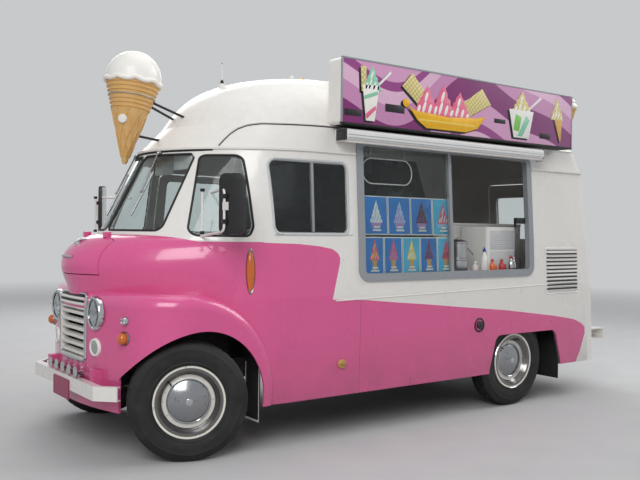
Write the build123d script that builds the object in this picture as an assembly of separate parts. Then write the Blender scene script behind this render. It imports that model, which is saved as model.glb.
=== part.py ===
"""Ice cream truck with a serving hatch, as separate pieces in one frame.

X runs forward, Y to the left (the serving side), Z up. The origin is on the ground, on the
centreline, halfway between the front bumper's face and the back edge of the rear step.
All sizes are in millimetres.
"""
from math import atan2, copysign, cos, degrees, radians, sin, sqrt
import os

from build123d import *

# Driving dimensions
WHEELBASE = 2970.0
FRONT_OVERHANG = 570.0
REAR_OVERHANG = 1380.0
BODY_WIDTH = 1840.0
TRACK = 1570.0
GROUND_TO_SILL = 300.0
BELT_HEIGHT = 1380.0
GUTTER_HEIGHT = 2000.0
CANT_HEIGHT = 2180.0
ROOF_HEIGHT = 2620.0
WALL = 25.0
GLASS = 5.0
GLASS_INSET = 9.0
GAP = 6.0
SEAT_GAP = 0.3

LENGTH = FRONT_OVERHANG + WHEELBASE + REAR_OVERHANG
FRONT_FACE = LENGTH / 2
FRONT_AXLE = FRONT_FACE - FRONT_OVERHANG
REAR_AXLE = FRONT_AXLE - WHEELBASE
REAR_FACE = -LENGTH / 2
HALF_WIDTH = BODY_WIDTH / 2

# Body stations along X
CAB_SEAM = FRONT_AXLE - 478.0
NOSE = FRONT_AXLE + 502.0
TAIL = REAR_AXLE - 1150.0
REAR_SEAM = TAIL + 270.0
TAIL_LEAN = 50.0 / 700.0

# How far the tail leans forward at each height
BELT_TAIL = (BELT_HEIGHT - GROUND_TO_SILL) * TAIL_LEAN
GUTTER_TAIL = (GUTTER_HEIGHT - GROUND_TO_SILL) * TAIL_LEAN
ROOF_RISE = ROOF_HEIGHT - CANT_HEIGHT

# Plan outlines of the cab and box, one row a level:
# height, nose ahead of CAB_SEAM, start of the front's rounding ahead of CAB_SEAM,
# half width, front radius, tail ahead of TAIL, tail corner radius
BODY_LEVELS = [
    (GROUND_TO_SILL, 770.0, -190.0, HALF_WIDTH - 14.0, 800.0, 0.0, 140.0),
    (1000.0, 770.0, -190.0, HALF_WIDTH, 800.0, 50.0, 150.0),
    (BELT_HEIGHT, 770.0, -190.0, HALF_WIDTH - 15.0, 800.0, BELT_TAIL, 160.0),
    (GUTTER_HEIGHT, 440.0, -490.0, HALF_WIDTH - 55.0, 770.0, GUTTER_TAIL, 200.0),
    (CANT_HEIGHT, 262.0, -640.0, HALF_WIDTH - 75.0, 750.0, 200.0, 210.0),
]
ROOF_LEVELS = [
    (CANT_HEIGHT, 262.0, -640.0, HALF_WIDTH - 75.0, 750.0, 200.0, 210.0),
    (CANT_HEIGHT + ROOF_RISE * 0.25, 185.0, -700.0, HALF_WIDTH - 115.0, 715.0, 275.0, 230.0),
    (CANT_HEIGHT + ROOF_RISE * 0.5, 80.0, -760.0, HALF_WIDTH - 180.0, 655.0, 350.0, 240.0),
    (CANT_HEIGHT + ROOF_RISE * 0.73, -85.0, -850.0, HALF_WIDTH - 290.0, 550.0, 470.0, 240.0),
    (CANT_HEIGHT + ROOF_RISE * 0.9, -330.0, -960.0, HALF_WIDTH - 450.0, 400.0, 640.0, 200.0),
    (ROOF_HEIGHT, -650.0, -1080.0, HALF_WIDTH - 680.0, 200.0, 900.0, 120.0),
]
BONNET_LEVELS = [
    (930.0, 955.0, -190.0, HALF_WIDTH - 22.0, 430.0, 2000.0, 100.0),
    (1010.0, 980.0, -190.0, HALF_WIDTH - 22.0, 430.0, 2000.0, 100.0),
    (1120.0, 1012.0, -190.0, HALF_WIDTH - 24.0, 430.0, 2000.0, 100.0),
    (1220.0, 1030.0, -190.0, HALF_WIDTH - 27.0, 430.0, 2000.0, 100.0),
    (1310.0, 985.0, -190.0, HALF_WIDTH - 35.0, 440.0, 2000.0, 100.0),
    (1375.0, 900.0, -190.0, HALF_WIDTH - 55.0, 470.0, 2000.0, 100.0),
    (1412.0, 785.0, -190.0, HALF_WIDTH - 90.0, 520.0, 2000.0, 100.0),
]
WING_TOP = 1045.0
WING_EDGE_RADIUS = 85.0
WING_WALL = 15.0
WING_SWEEP = 645.0
WING_SWEEP_X = CAB_SEAM + 563.0
WING_SWEEP_HEIGHT = WING_TOP - WING_SWEEP
WING_OUTLINE = (NOSE, NOSE - 487.0, HALF_WIDTH, 2000.0)

# Wheels and arches
TYRE_RADIUS = 375.0
TYRE_WIDTH = 180.0
RIM_RADIUS = 203.0
TRIM_RADIUS = 229.0
ARCH_RADIUS = 442.0
ARCH_CENTRE = FRONT_AXLE - 8.0
REAR_ARCH_TOP = 610.0
REAR_ARCH_FRONT = REAR_AXLE + 320.0
REAR_ARCH_BACK = REAR_AXLE - 560.0
KINGPIN_Y = 690.0
REST_STEER = -20.0

# Openings in the sides
HATCH_FRONT = CAB_SEAM - 790.0
HATCH_BACK = HATCH_FRONT - 1860.0
HATCH_BOTTOM = 1120.0
HATCH_TOP = GUTTER_HEIGHT + 90.0
SLIDER_FRONT = CAB_SEAM - 65.0
SLIDER_BACK = CAB_SEAM - 670.0
SLIDER_BOTTOM = 1430.0
SLIDER_TOP = 1925.0
SCREEN_LOW = BELT_HEIGHT + 62.0
SCREEN_HIGH = GUTTER_HEIGHT - 45.0
CAB_WINDOW_LOW = BELT_HEIGHT + 32.0
CAB_WINDOW_HIGH = GUTTER_HEIGHT - 55.0

# Upright joint between the cab quarter's panels
PILLAR_JOINT = CAB_SEAM - 112.0

# Sign box
SIGN_OUTER = 1000.0
SIGN_DEPTH = 150.0
SIGN_FRONT = CAB_SEAM - 520.0
SIGN_LENGTH = 2540.0
SIGN_BOTTOM = CANT_HEIGHT + 5.0
SIGN_HEIGHT = 460.0

# Doors
DOOR_FRONT = CAB_SEAM
DOOR_BACK = CAB_SEAM - 780.0
DOOR_BOTTOM = 350.0
DOOR_TOP = 1910.0
DOOR_GAP = 8.0
DOOR_RETURN = 820.0
HINGE_X = CAB_SEAM - 4.0
HINGE_Y = HALF_WIDTH + 18.0
DOOR_HINGES = (660.0, 1290.0)
REAR_DOOR_HALF = 330.0
REAR_DOOR_BOTTOM = 640.0
REAR_DOOR_TOP = 1940.0
REAR_DOOR_GAP = 7.0
REAR_HINGE_Y = REAR_DOOR_HALF + 3.5
REAR_HINGES = (820.0, 1760.0)
REAR_PIN = 10.0
LID_HALF = 300.0
LID_BACK = CAB_SEAM + 813.0
LID_LOW = 1150.0
LID_PIN_X = LID_BACK - 3.0
LID_PIN_Z = 1420.0

# Hatch frame
HATCH_CORNER = 60.0
HATCH_PROUD = 12.0
HATCH_FLANGE = 30.0
HATCH_RING = 28.0
MULLION = HATCH_FRONT - 905.0

# Nose and lamps
NOSE_HALF = 590.0
GRILLE_HALF = 225.0
GRILLE_BOTTOM = 590.0
GRILLE_TOP = 925.0
GRILLE_BARS = 6
LAMP_Y = 345.0
LAMP_HEIGHT = 905.0
LAMP_RADIUS = 100.0
LAMP_HOLE = LAMP_RADIUS + 1.0
MARKER_X = CAB_SEAM + 110.0
# distance from the centreline, height, radius, depth
SMALL_LAMPS = [
    (354.0, 690.0, 60.0, 22.0),
    (650.0, 882.0, 30.0, 40.0),
    (640.0, 773.0, 42.0, 45.0),
]
# height, radius
TAIL_LAMPS = [(700.0, 45.0), (810.0, 45.0)]

# Chassis
RAIL_Y = 400.0
RAIL_BOTTOM = 440.0
RAIL_TOP = 550.0
FLOOR_TOP = 600.0
KINGPIN_RADIUS = 16.0
AXLE_EYE = 91.4
DRUM_INNER = KINGPIN_Y + 60.0
DRUM_OUTER = TRACK / 2 + 8.0 - SEAT_GAP
ENGINE_BACK = FRONT_AXLE - 290.0
GEARBOX_BACK = ENGINE_BACK - 640.0
CROSS_MEMBERS = (-2370.0, -1800.0, -560.0, 150.0, 850.0, 2242.0)
BEARERS = (-2000.0, -1700.0, -500.0, 100.0, 700.0, 1250.0)
TANK_FRONT = -150.0
TOW_X = REAR_FACE + 35.0
TOW_BORE = 25.0
TOW_PLATE = 16.0
TOW_BOTTOM = 420.0

# Fittings
BUMPER_TOP = 480.0
BUMPER_BACK = FRONT_FACE - 54.0
BUMPER_STRAIGHT = 560.0
BUMPER_SWEEP = 110.0
PLATE_HALF = 150.0
HORNS = (-240.0, -120.0, 0.0, 120.0, 240.0)
MIRROR_X = CAB_SEAM + 360.0
MIRROR_Y = 1050.0
MIRROR_TURN = 33.0
WIPERS = (-190.0, 190.0)
LOUVRE_FRONT = -1450.0
LOUVRE_BACK = -1870.0
LOUVRE_BOTTOM = 944.0
LOUVRE_TOP = 1307.0
LOUVRE_SLATS = 11
# X and height of the filler caps on the left
FUEL_CAPS = [(-607.0, 709.0), (799.0, 521.0)]
AWNING_FRONT = CAB_SEAM - 572.0
AWNING_LENGTH = 2120.0
AWNING_BOTTOM = GUTTER_HEIGHT + 77.0
AWNING_TOP = CANT_HEIGHT - 21.0
SIGN_TOP = SIGN_BOTTOM + SIGN_HEIGHT
CONE_X = CAB_SEAM + 616.0
CONE_TIP = 1900.0
CONE_HEIGHT = 560.0
CONE_RADIUS = 182.0
CONE_TILT = 6.0
DRIVER_Y = -400.0
FAR = 3000.0

parts = {}


def flank_arc(nose, side, half_width, front_radius):
    """Centre Y and radius of the arc between side and front arc, and where it meets the latter."""
    reach = nose - front_radius - side
    radius = (reach**2 + half_width**2 - front_radius**2) / (2 * (half_width - front_radius))
    centre_y = half_width - radius
    run = sqrt(reach**2 + centre_y**2)
    turn = 1.0 if front_radius < half_width else -1.0
    meet = (side + turn * radius * reach / run, centre_y - turn * radius * centre_y / run)
    return centre_y, radius, meet


def outline(nose, side, half_width, front_radius, tail, tail_radius):
    """Closed plan outline: front arc, flank arcs tangent to it and to the sides, rounded tail."""
    centre_y, flank, meet = flank_arc(nose, side, half_width, front_radius)
    mid_x = (meet[0] - side) / flank
    mid_y = (meet[1] - centre_y) / flank + 1.0
    mid_run = sqrt(mid_x**2 + mid_y**2)
    halfway = (side + flank * mid_x / mid_run, centre_y + flank * mid_y / mid_run)
    corner = tail + tail_radius
    bulge = tail_radius * (1 - cos(radians(45)))
    edges = [ThreePointArc((meet[0], -meet[1]), (nose, 0), meet)]
    edges += [
        ThreePointArc(meet, halfway, (side, half_width)),
        Line((side, half_width), (corner, half_width)),
        ThreePointArc(
            (corner, half_width),
            (tail + bulge, half_width - bulge),
            (tail, half_width - tail_radius),
        ),
    ]
    edges.append(Line((tail, half_width - tail_radius), (tail, tail_radius - half_width)))
    edges += [
        ThreePointArc(
            (tail, tail_radius - half_width),
            (tail + bulge, bulge - half_width),
            (corner, -half_width),
        ),
        Line((corner, -half_width), (side, -half_width)),
        ThreePointArc((side, -half_width), (halfway[0], -halfway[1]), (meet[0], -meet[1])),
    ]
    return make_face(Wire(edges))


def stack(levels, inset=0.0, ruled=True):
    """Loft through plan outlines at several heights, each drawn in by the inset."""
    faces = []
    for height, nose, side, half_width, front_radius, tail, tail_radius in levels:
        face = outline(
            CAB_SEAM + nose - inset,
            CAB_SEAM + side,
            half_width - inset,
            front_radius - inset,
            TAIL + tail + inset,
            tail_radius - inset,
        )
        faces.append(Plane.XY.offset(height) * face)
    return loft(faces, ruled=ruled)


def block(x0, x1, y0, y1, z0, z1):
    """Box between two corners."""
    size = (x1 - x0, y1 - y0, z1 - z0)
    return Pos((x0 + x1) / 2, (y0 + y1) / 2, (z0 + z1) / 2) * Box(*size)


def side_cutter(points, radius, y0, y1):
    """Prism across Y from a rounded outline in X and Z."""
    face = make_face(Polyline(*points, close=True))
    face = fillet(face.vertices(), radius)
    plane = Plane(origin=(0, y1, 0), x_dir=(1, 0, 0), z_dir=(0, -1, 0))
    return extrude(plane * face, y1 - y0)


def side_window(x0, x1, z0, z1, radius, y0, y1):
    """Prism across Y from a rounded rectangle in X and Z."""
    return side_cutter([(x0, z0), (x1, z0), (x1, z1), (x0, z1)], radius, y0, y1)


def tube(points, radius, bend):
    """Round bar along straight runs joined by tangent arcs."""
    path = FilletPolyline(*points, radius=bend) if len(points) > 2 else Line(*points)
    start = path % 0
    return sweep(Plane(origin=path @ 0, z_dir=start) * Circle(radius), path)


def both_sides(shape):
    """The shape and its mirror image across the centreline."""
    return [shape, mirror(shape, about=Plane.XZ)]


def gather(pieces):
    """One node of several solids."""
    solids = []
    for piece in pieces:
        solids += piece.solids()
    return Compound(children=solids) if len(solids) > 1 else solids[0]


def add(name, *pieces):
    """Keep a node under its name."""
    parts[name] = gather(pieces)


def cab_window(inset, y0, y1):
    """Cab side window: raked front edge, cut lower rear corner."""
    front_low = CAB_SEAM + 455.0 - inset
    front_high = CAB_SEAM + 290.0 - inset
    back = CAB_SEAM + 80.0 + inset
    low = CAB_WINDOW_LOW + inset
    high = CAB_WINDOW_HIGH - inset
    points = [(back + 30, low), (front_low, low), (front_high, high), (back, high), (back, low + 60)]
    return side_cutter(points, 45.0 - inset, y0, y1)


def screen_pane(inset, side):
    """One half of the split windscreen, cut along X."""
    inner = 14.0 + inset
    points = [
        (side * inner, SCREEN_LOW + inset),
        (side * (490.0 - inset), SCREEN_LOW + inset),
        (side * (462.0 - inset), SCREEN_HIGH - inset),
        (side * inner, SCREEN_HIGH - inset),
    ]
    face = make_face(Polyline(*points, close=True))
    face = fillet(face.vertices(), 40.0 - inset)
    plane = Plane(origin=(CAB_SEAM + 120, 0, 0), x_dir=(0, 1, 0), z_dir=(1, 0, 0))
    return extrude(plane * face, 800)


def front_arch(y0, y1):
    """Round wheel opening over the front axle."""
    cylinder = Cylinder(ARCH_RADIUS, y1 - y0, rotation=(90, 0, 0))
    return Pos(ARCH_CENTRE, (y0 + y1) / 2, TYRE_RADIUS) * cylinder


def rear_arch(y0, y1):
    """Flat-topped wheel opening over the rear axle."""
    points = [
        (REAR_ARCH_FRONT + 40, GROUND_TO_SILL - 60),
        (REAR_ARCH_BACK - 60, GROUND_TO_SILL - 60),
        (REAR_ARCH_BACK + 60, REAR_ARCH_TOP),
        (REAR_ARCH_FRONT - 60, REAR_ARCH_TOP),
    ]
    return side_cutter(points, 75.0, y0, y1)


def cant_region(side):
    """Upper side strip between gutter and roof seam, with its rounded front end."""
    front = CAB_SEAM + 330
    points = [
        (TAIL - 50, GUTTER_HEIGHT),
        (front, GUTTER_HEIGHT),
        (front - 130, CANT_HEIGHT - 35),
        (front - 260, CANT_HEIGHT),
        (TAIL - 50, CANT_HEIGHT),
    ]
    face = make_face(Polyline(*points, close=True))
    y_out = side * HALF_WIDTH * 1.2
    plane = Plane(origin=(0, 0, 0), x_dir=(1, 0, 0), z_dir=(0, -1, 0))
    return extrude(plane * face, -y_out)


def body_front(y, z):
    """X of the cab's front at a distance from the centreline and a height."""
    for low, high in zip(BODY_LEVELS, BODY_LEVELS[1:]):
        if low[0] <= z <= high[0]:
            share = (z - low[0]) / (high[0] - low[0])
            return (1 - share) * level_front(low, y) + share * level_front(high, y)
    raise ValueError("height outside the body")


def level_front(level, y):
    """X of one plan outline's front at a distance from the centreline."""
    nose, side, half_width, front_radius = level[1:5]
    centre_y, radius, meet = flank_arc(nose, side, half_width, front_radius)
    if abs(y) > meet[1]:
        return CAB_SEAM + side + sqrt(radius**2 - (abs(y) - centre_y) ** 2)
    return CAB_SEAM + nose - front_radius + sqrt(front_radius**2 - y**2)


def body_side(x, z):
    """Distance of the body's side from the centreline at a station and a height."""
    for low, high in zip(BODY_LEVELS, BODY_LEVELS[1:]):
        if low[0] <= z <= high[0]:
            share = (z - low[0]) / (high[0] - low[0])
            return (1 - share) * level_side(low, x) + share * level_side(high, x)
    raise ValueError("height outside the body")


def level_side(level, x):
    """Distance of one plan outline's side from the centreline at a station."""
    nose, side, half_width, front_radius = level[1:5]
    ahead = x - CAB_SEAM - side
    if ahead <= 0:
        return half_width
    centre_y, radius, meet = flank_arc(nose, side, half_width, front_radius)
    if ahead + side > meet[0]:
        return sqrt(front_radius**2 - (ahead + side - nose + front_radius) ** 2)
    return centre_y + sqrt(radius**2 - ahead**2)


def nose_surface(y):
    """X of the lower nose at a distance from the centreline, and its direction in degrees."""
    centre_y, radius, meet = flank_arc(*WING_OUTLINE)
    nose, side, half_width, front_radius = WING_OUTLINE
    centre_x = side
    if abs(y) <= meet[1]:
        centre_x, centre_y, radius = nose - front_radius, 0.0, front_radius
    across = abs(y) - centre_y
    along = sqrt(radius**2 - across**2)
    return centre_x + along, copysign(degrees(atan2(across, along)), y)


def tail_x(z):
    """X of the flat rear wall at a height."""
    return TAIL + (z - GROUND_TO_SILL) * TAIL_LEAN


def wing_volume(inset=0.0):
    """Lower nose and front wings: plan outline cut by the side profile, top edge rounded."""
    nose, side, half_width, front_radius = WING_OUTLINE
    plan = outline(
        nose - inset, side, half_width - inset, front_radius - inset, CAB_SEAM - 300, 60 - inset
    )
    radius = WING_SWEEP - inset
    low = GROUND_TO_SILL
    drop = WING_SWEEP_HEIGHT - low
    start = (WING_SWEEP_X - sqrt(radius**2 - drop**2), low)
    middle = (
        WING_SWEEP_X - radius * cos(radians(45)),
        WING_SWEEP_HEIGHT + radius * sin(radians(45)),
    )
    crest = (WING_SWEEP_X, WING_SWEEP_HEIGHT + radius)
    profile = make_face(
        [
            ThreePointArc(start, middle, crest),
            Line(crest, (nose + 50, crest[1])),
            Line((nose + 50, crest[1]), (nose + 50, low)),
            Line((nose + 50, low), start),
        ]
    )
    plane = Plane(origin=(0, 1000, 0), x_dir=(1, 0, 0), z_dir=(0, -1, 0))
    solid = extrude(Plane.XY.offset(low) * plan, 1000) & extrude(plane * profile, 2000)
    rims = []
    for edge in solid.edges():
        box = edge.bounding_box()
        upright = box.size.X < 1 and box.size.Y < 1
        across = box.size.X < 1 and box.size.Z < 1
        if box.max.Z > low + 1 and not upright and not across:
            rims.append(edge)
    return fillet(rims, WING_EDGE_RADIUS - inset)


def roof_volume(inset=0.0):
    """Domed roof above the cant line, drawn in by the inset."""
    return Pos(0, 0, -inset) * stack(ROOF_LEVELS, inset, False)


def bonnet_volume(inset=0.0):
    """Bonnet and brow ahead of the cab, drawn in by the inset."""
    return Pos(0, 0, -inset) * stack(BONNET_LEVELS, inset, False)


def prism_x(face, x0, x1):
    """Prism along X from a face drawn in Y and Z."""
    plane = Plane(origin=(x0, 0, 0), x_dir=(0, 1, 0), z_dir=(1, 0, 0))
    return extrude(plane * face, x1 - x0)


def rear_doorway(inset):
    """Prism along X through the rear doorway."""
    middle = (REAR_DOOR_TOP + REAR_DOOR_BOTTOM) / 2
    height = REAR_DOOR_TOP - REAR_DOOR_BOTTOM - 2 * inset
    face = fillet(Rectangle(2 * (REAR_DOOR_HALF - inset), height).vertices(), 50 - inset)
    return prism_x(Pos(0, middle) * face, TAIL - 200, TAIL + 600)


def rear_pane(inset):
    """Prism along X through the rear door's window."""
    face = fillet(Rectangle(2 * (230 - inset), 420 - 2 * inset).vertices(), 45 - inset)
    return prism_x(Pos(0, 1600) * face, TAIL - 200, TAIL + 600)


def driver_doorway(inset):
    """Prism across Y through the driver's doorway on the right."""
    front = DOOR_FRONT + 1 if inset == 0 else DOOR_FRONT - inset
    return side_window(
        DOOR_BACK + inset, front, DOOR_BOTTOM + inset, DOOR_TOP - inset, 60, -FAR, -400
    )


def door_pane(inset):
    """Prism across Y through the driver's door window."""
    low = BELT_HEIGHT + 50 + inset
    high = DOOR_TOP - 60 - inset
    back = DOOR_BACK + 85 + inset
    front = DOOR_FRONT - 100 - inset
    return side_window(back, front, low, high, 45 - inset, -FAR, -400)


def hatch_outline(grow, y0, y1):
    """Prism across Y through the serving hatch, grown or shrunk all round."""
    return side_window(
        HATCH_BACK - grow,
        HATCH_FRONT + grow,
        HATCH_BOTTOM - grow,
        HATCH_TOP + grow,
        HATCH_CORNER + grow,
        y0,
        y1,
    )


def tail_cut():
    """Prism behind the slanted seam of the rear corner panels."""
    profile = make_face(
        [
            ThreePointArc(
                (REAR_SEAM - 105, GROUND_TO_SILL - 1),
                (REAR_SEAM + 82, 1305),
                (REAR_SEAM + 440, CANT_HEIGHT + 1),
            ),
            Line((REAR_SEAM + 440, CANT_HEIGHT + 1), (TAIL - 100, CANT_HEIGHT + 1)),
            Line((TAIL - 100, CANT_HEIGHT + 1), (TAIL - 100, GROUND_TO_SILL - 1)),
            Line((TAIL - 100, GROUND_TO_SILL - 1), (REAR_SEAM - 105, GROUND_TO_SILL - 1)),
        ]
    )
    plane = Plane(origin=(0, 1000, 0), x_dir=(1, 0, 0), z_dir=(0, -1, 0))
    return extrude(plane * profile, 2000)


def on_tail(shape, y, z):
    """Set a piece drawn upright with its back to +X on the slanted rear wall."""
    return Pos(tail_x(z), y, z) * Rot(0, degrees(atan2(TAIL_LEAN, 1)), 0) * shape


def rear_hinge(side, y, z):
    """Half of a rear door hinge: strap and barrel, the door's half above the fixed one."""
    low, high = (0.3, 30) if side < 0 else (-30, 0)
    y0, y1 = sorted((0, side * 46))
    strap = block(-14, -3, y0, y1, low, high)
    y0, y1 = sorted((side * 12, side * 46))
    strap += block(-14, 8, y0, y1, low, high)
    barrel = Pos(-REAR_PIN, 0, (low + high) / 2) * Cylinder(8, high - low)
    return on_tail(strap + barrel, y, z)


def side_panels(wall):
    """Panels of the left wall: rear post, hatch sill, header and corners, and cab quarter."""
    bays = [
        (-FAR, HATCH_BACK, 0, FAR),
        (HATCH_BACK, HATCH_FRONT, 0, HATCH_BOTTOM),
        (HATCH_BACK, HATCH_FRONT, HATCH_TOP, FAR),
        (HATCH_FRONT, PILLAR_JOINT, 0, BELT_HEIGHT),
        (HATCH_FRONT, PILLAR_JOINT, BELT_HEIGHT, GUTTER_HEIGHT),
        (PILLAR_JOINT, FAR, 0, BELT_HEIGHT),
        (PILLAR_JOINT, FAR, BELT_HEIGHT, GUTTER_HEIGHT),
        (HATCH_FRONT, FAR, GUTTER_HEIGHT, FAR),
    ]
    for x in (HATCH_BACK, HATCH_FRONT - HATCH_CORNER):
        for z in (HATCH_BOTTOM, HATCH_TOP - HATCH_CORNER):
            bays.append((x, x + HATCH_CORNER, z, z + HATCH_CORNER))
    return [wall & block(x0, x1, 0, FAR, z0, z1) for x0, x1, z0, z1 in bays]


def build_body(outer, inner, wing):
    """Panels of the box and cab, the roof, the doors and the hatch frame."""
    shell = outer - inner
    ahead = block(CAB_SEAM, FAR, -FAR, FAR, 0, FAR)
    behind = block(-FAR, CAB_SEAM, -FAR, FAR, 0, FAR)
    left = block(-FAR, FAR, 0, FAR, 0, FAR)
    right = block(-FAR, FAR, -FAR, 0, 0, FAR)
    upper = block(-FAR, FAR, -FAR, FAR, GUTTER_HEIGHT, CANT_HEIGHT)
    tail = tail_cut()
    wing_tail = (wing - wing_volume(WING_WALL)) & behind
    strips = cant_region(1) + cant_region(-1)
    box = (shell & behind) - tail - wing - rear_arch(-FAR, FAR)
    front_strips = shell & ahead & upper & strips
    hatch = hatch_outline(0, 600, FAR)
    slider = side_window(SLIDER_BACK, SLIDER_FRONT, SLIDER_BOTTOM, SLIDER_TOP, 55, 600, FAR)
    side_skin = wing_tail - block(-FAR, FAR, -DOOR_RETURN, DOOR_RETURN, 0, FAR)
    wall_left = ((box + side_skin + front_strips) & left) - hatch - slider
    wall_right = (box + side_skin + front_strips) & right
    add("side_wall_left", *side_panels(wall_left))
    add("side_wall_right", wall_right - driver_doorway(0))
    door = (wall_right & driver_doorway(DOOR_GAP)) - door_pane(0)
    for height in DOOR_HINGES:
        strap = block(HINGE_X - 46, HINGE_X, -HINGE_Y - 5, -800, height + 0.3, height + 30)
        strap = strap - outer - wing
        door += strap + Pos(HINGE_X, -HINGE_Y, height + 15.15) * Cylinder(9, 29.7)
    add("driver_door", door)
    cab = (shell & ahead) - upper - wing
    cab -= cab_window(0, -FAR, FAR)
    cab = cab - screen_pane(0, 1) - screen_pane(0, -1)
    for height in DOOR_HINGES:
        strap = block(HINGE_X, HINGE_X + 46, -HINGE_Y - 5, -800, height - 30, height)
        strap = strap - outer - wing
        bracket = strap + Pos(HINGE_X, -HINGE_Y, height - 15) * Cylinder(9, 30)
        if height > WING_TOP:
            cab += bracket
        else:
            low_bracket = bracket
    add("cab_shell", cab)
    dome = roof_volume() - roof_volume(WALL)
    dome -= block(-FAR, FAR, -FAR, FAR, 0, CANT_HEIGHT)
    dome += (shell & ahead & upper) - strips
    add("roof", dome)
    rear = (shell & tail) - rear_doorway(0)
    for side in (1, -1):
        y = side * RAIL_Y
        rear -= block(TAIL - 50, TAIL + 100, y - 33, y + 33, RAIL_BOTTOM - 3, RAIL_TOP + 3)
    rear_leaf = (shell & rear_doorway(REAR_DOOR_GAP)) - rear_pane(0)
    for height in REAR_HINGES:
        rear += rear_hinge(1, REAR_HINGE_Y, height)
        rear_leaf += rear_hinge(-1, REAR_HINGE_Y, height)
    add("rear_wall", rear)
    add("rear_door", rear_leaf)
    add("hatch_frame", hatch_frame())
    return low_bracket


def hatch_frame():
    """Flange and lining of the serving hatch with its mullion."""
    flange = stack(BODY_LEVELS, -HATCH_PROUD) - stack(BODY_LEVELS)
    flange = flange & hatch_outline(HATCH_FLANGE, 600, FAR)
    lining = stack(BODY_LEVELS) - stack(BODY_LEVELS, WALL + 10)
    lining = lining & hatch_outline(0, 600, FAR)
    ring = (flange + lining) - hatch_outline(-HATCH_RING, 500, FAR)
    post = stack(BODY_LEVELS, -HATCH_PROUD) - stack(BODY_LEVELS, WALL + 10)
    post = post & block(
        MULLION - 15, MULLION + 15, 600, FAR, HATCH_BOTTOM + HATCH_RING, HATCH_TOP - HATCH_RING
    )
    return ring + post


def build_glass():
    """Fixed panes, cut from one thin skin inside the body's surface."""
    skin = stack(BODY_LEVELS, GLASS_INSET) - stack(BODY_LEVELS, GLASS_INSET + GLASS)
    add("windscreen", skin & screen_pane(SEAT_GAP, 1), skin & screen_pane(SEAT_GAP, -1))
    sides = (skin & cab_window(SEAT_GAP, -FAR, FAR)).solids()
    slider = side_window(
        SLIDER_BACK + SEAT_GAP,
        SLIDER_FRONT - SEAT_GAP,
        SLIDER_BOTTOM + SEAT_GAP,
        SLIDER_TOP - SEAT_GAP,
        55 - SEAT_GAP,
        600,
        FAR,
    )
    sides.append(skin & slider)
    hatch = skin & hatch_outline(-HATCH_RING - SEAT_GAP, 600, FAR)
    hatch = hatch & block(MULLION + 15 + SEAT_GAP, FAR, 0, FAR, 0, FAR)
    sides.append(hatch)
    add("side_glazing", *sides)
    add("door_glass", skin & door_pane(SEAT_GAP))
    add("rear_glass", skin & rear_pane(SEAT_GAP))


def build_front(outer, wing, low_bracket):
    """Wings, nose, toe board, bonnet, lid and grille."""
    shell = wing - wing_volume(WING_WALL)
    shell = shell & block(CAB_SEAM, FAR, -FAR, FAR, 0, FAR)
    engine_bay = bonnet_volume(WING_WALL) - outer
    shell -= engine_bay
    middle = block(-FAR, FAR, -NOSE_HALF, NOSE_HALF, 0, FAR)
    sides = shell - middle - front_arch(NOSE_HALF, FAR) - front_arch(-FAR, -NOSE_HALF)
    inside = wing_volume(WING_WALL) & block(CAB_SEAM, FAR, -FAR, FAR, 0, FAR)
    add("wing_left", sides & block(-FAR, FAR, 0, FAR, 0, FAR))
    add("wing_right", (sides & block(-FAR, FAR, -FAR, 0, 0, FAR)) + low_bracket)
    nose = (shell & middle) - outer
    nose -= block(NOSE - 60, FAR, -GRILLE_HALF, GRILLE_HALF, GRILLE_BOTTOM, GRILLE_TOP)
    for side in (1, -1):
        nose -= Pos(NOSE, side * LAMP_Y, LAMP_HEIGHT) * Cylinder(
            LAMP_HOLE, 400, rotation=(0, 90, 0)
        )
        y = side * RAIL_Y
        nose -= block(NOSE - 100, NOSE + 50, y - 33, y + 33, RAIL_BOTTOM - 3, RAIL_TOP + 3)
    add("nose_panel", nose)
    cover = ((wing - wing_volume(WING_WALL)) & middle & outer) - block(
        -FAR, FAR, -FAR, FAR, 0, FLOOR_TOP - 35
    )
    plates = [cover]
    for side in (1, -1):
        low, high = sorted((side * 452, side * 460))
        plates.append(inside & block(CAB_SEAM + 30, NOSE - 40, low, high, RAIL_TOP + 10, FAR))
    add("toe_board", *plates)
    hood = bonnet_volume() - bonnet_volume(WING_WALL) - outer - wing
    lid_hole = block(LID_BACK - GAP, FAR, -LID_HALF - GAP, LID_HALF + GAP, LID_LOW - GAP, FAR)
    lid_zone = block(LID_BACK, FAR, -LID_HALF, LID_HALF, LID_LOW, FAR)
    lid = hood & lid_zone
    scuttle = hood - lid_hole
    for y in (-180, 180):
        arm = block(LID_PIN_X, LID_PIN_X + 30, y, y + 29.7, LID_PIN_Z - 30, LID_PIN_Z + 5)
        lid += (arm - bonnet_volume()) + Pos(LID_PIN_X, y + 14.85, LID_PIN_Z) * Cylinder(
            6, 29.7, rotation=(90, 0, 0)
        )
        arm = block(LID_PIN_X - 30, LID_PIN_X, y - 30, y, LID_PIN_Z - 30, LID_PIN_Z + 5)
        scuttle += (arm - bonnet_volume() - outer) + Pos(
            LID_PIN_X, y - 15, LID_PIN_Z
        ) * Cylinder(6, 30, rotation=(90, 0, 0))
    add("bonnet_lid", lid)
    add("scuttle", scuttle)
    build_grille()


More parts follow.
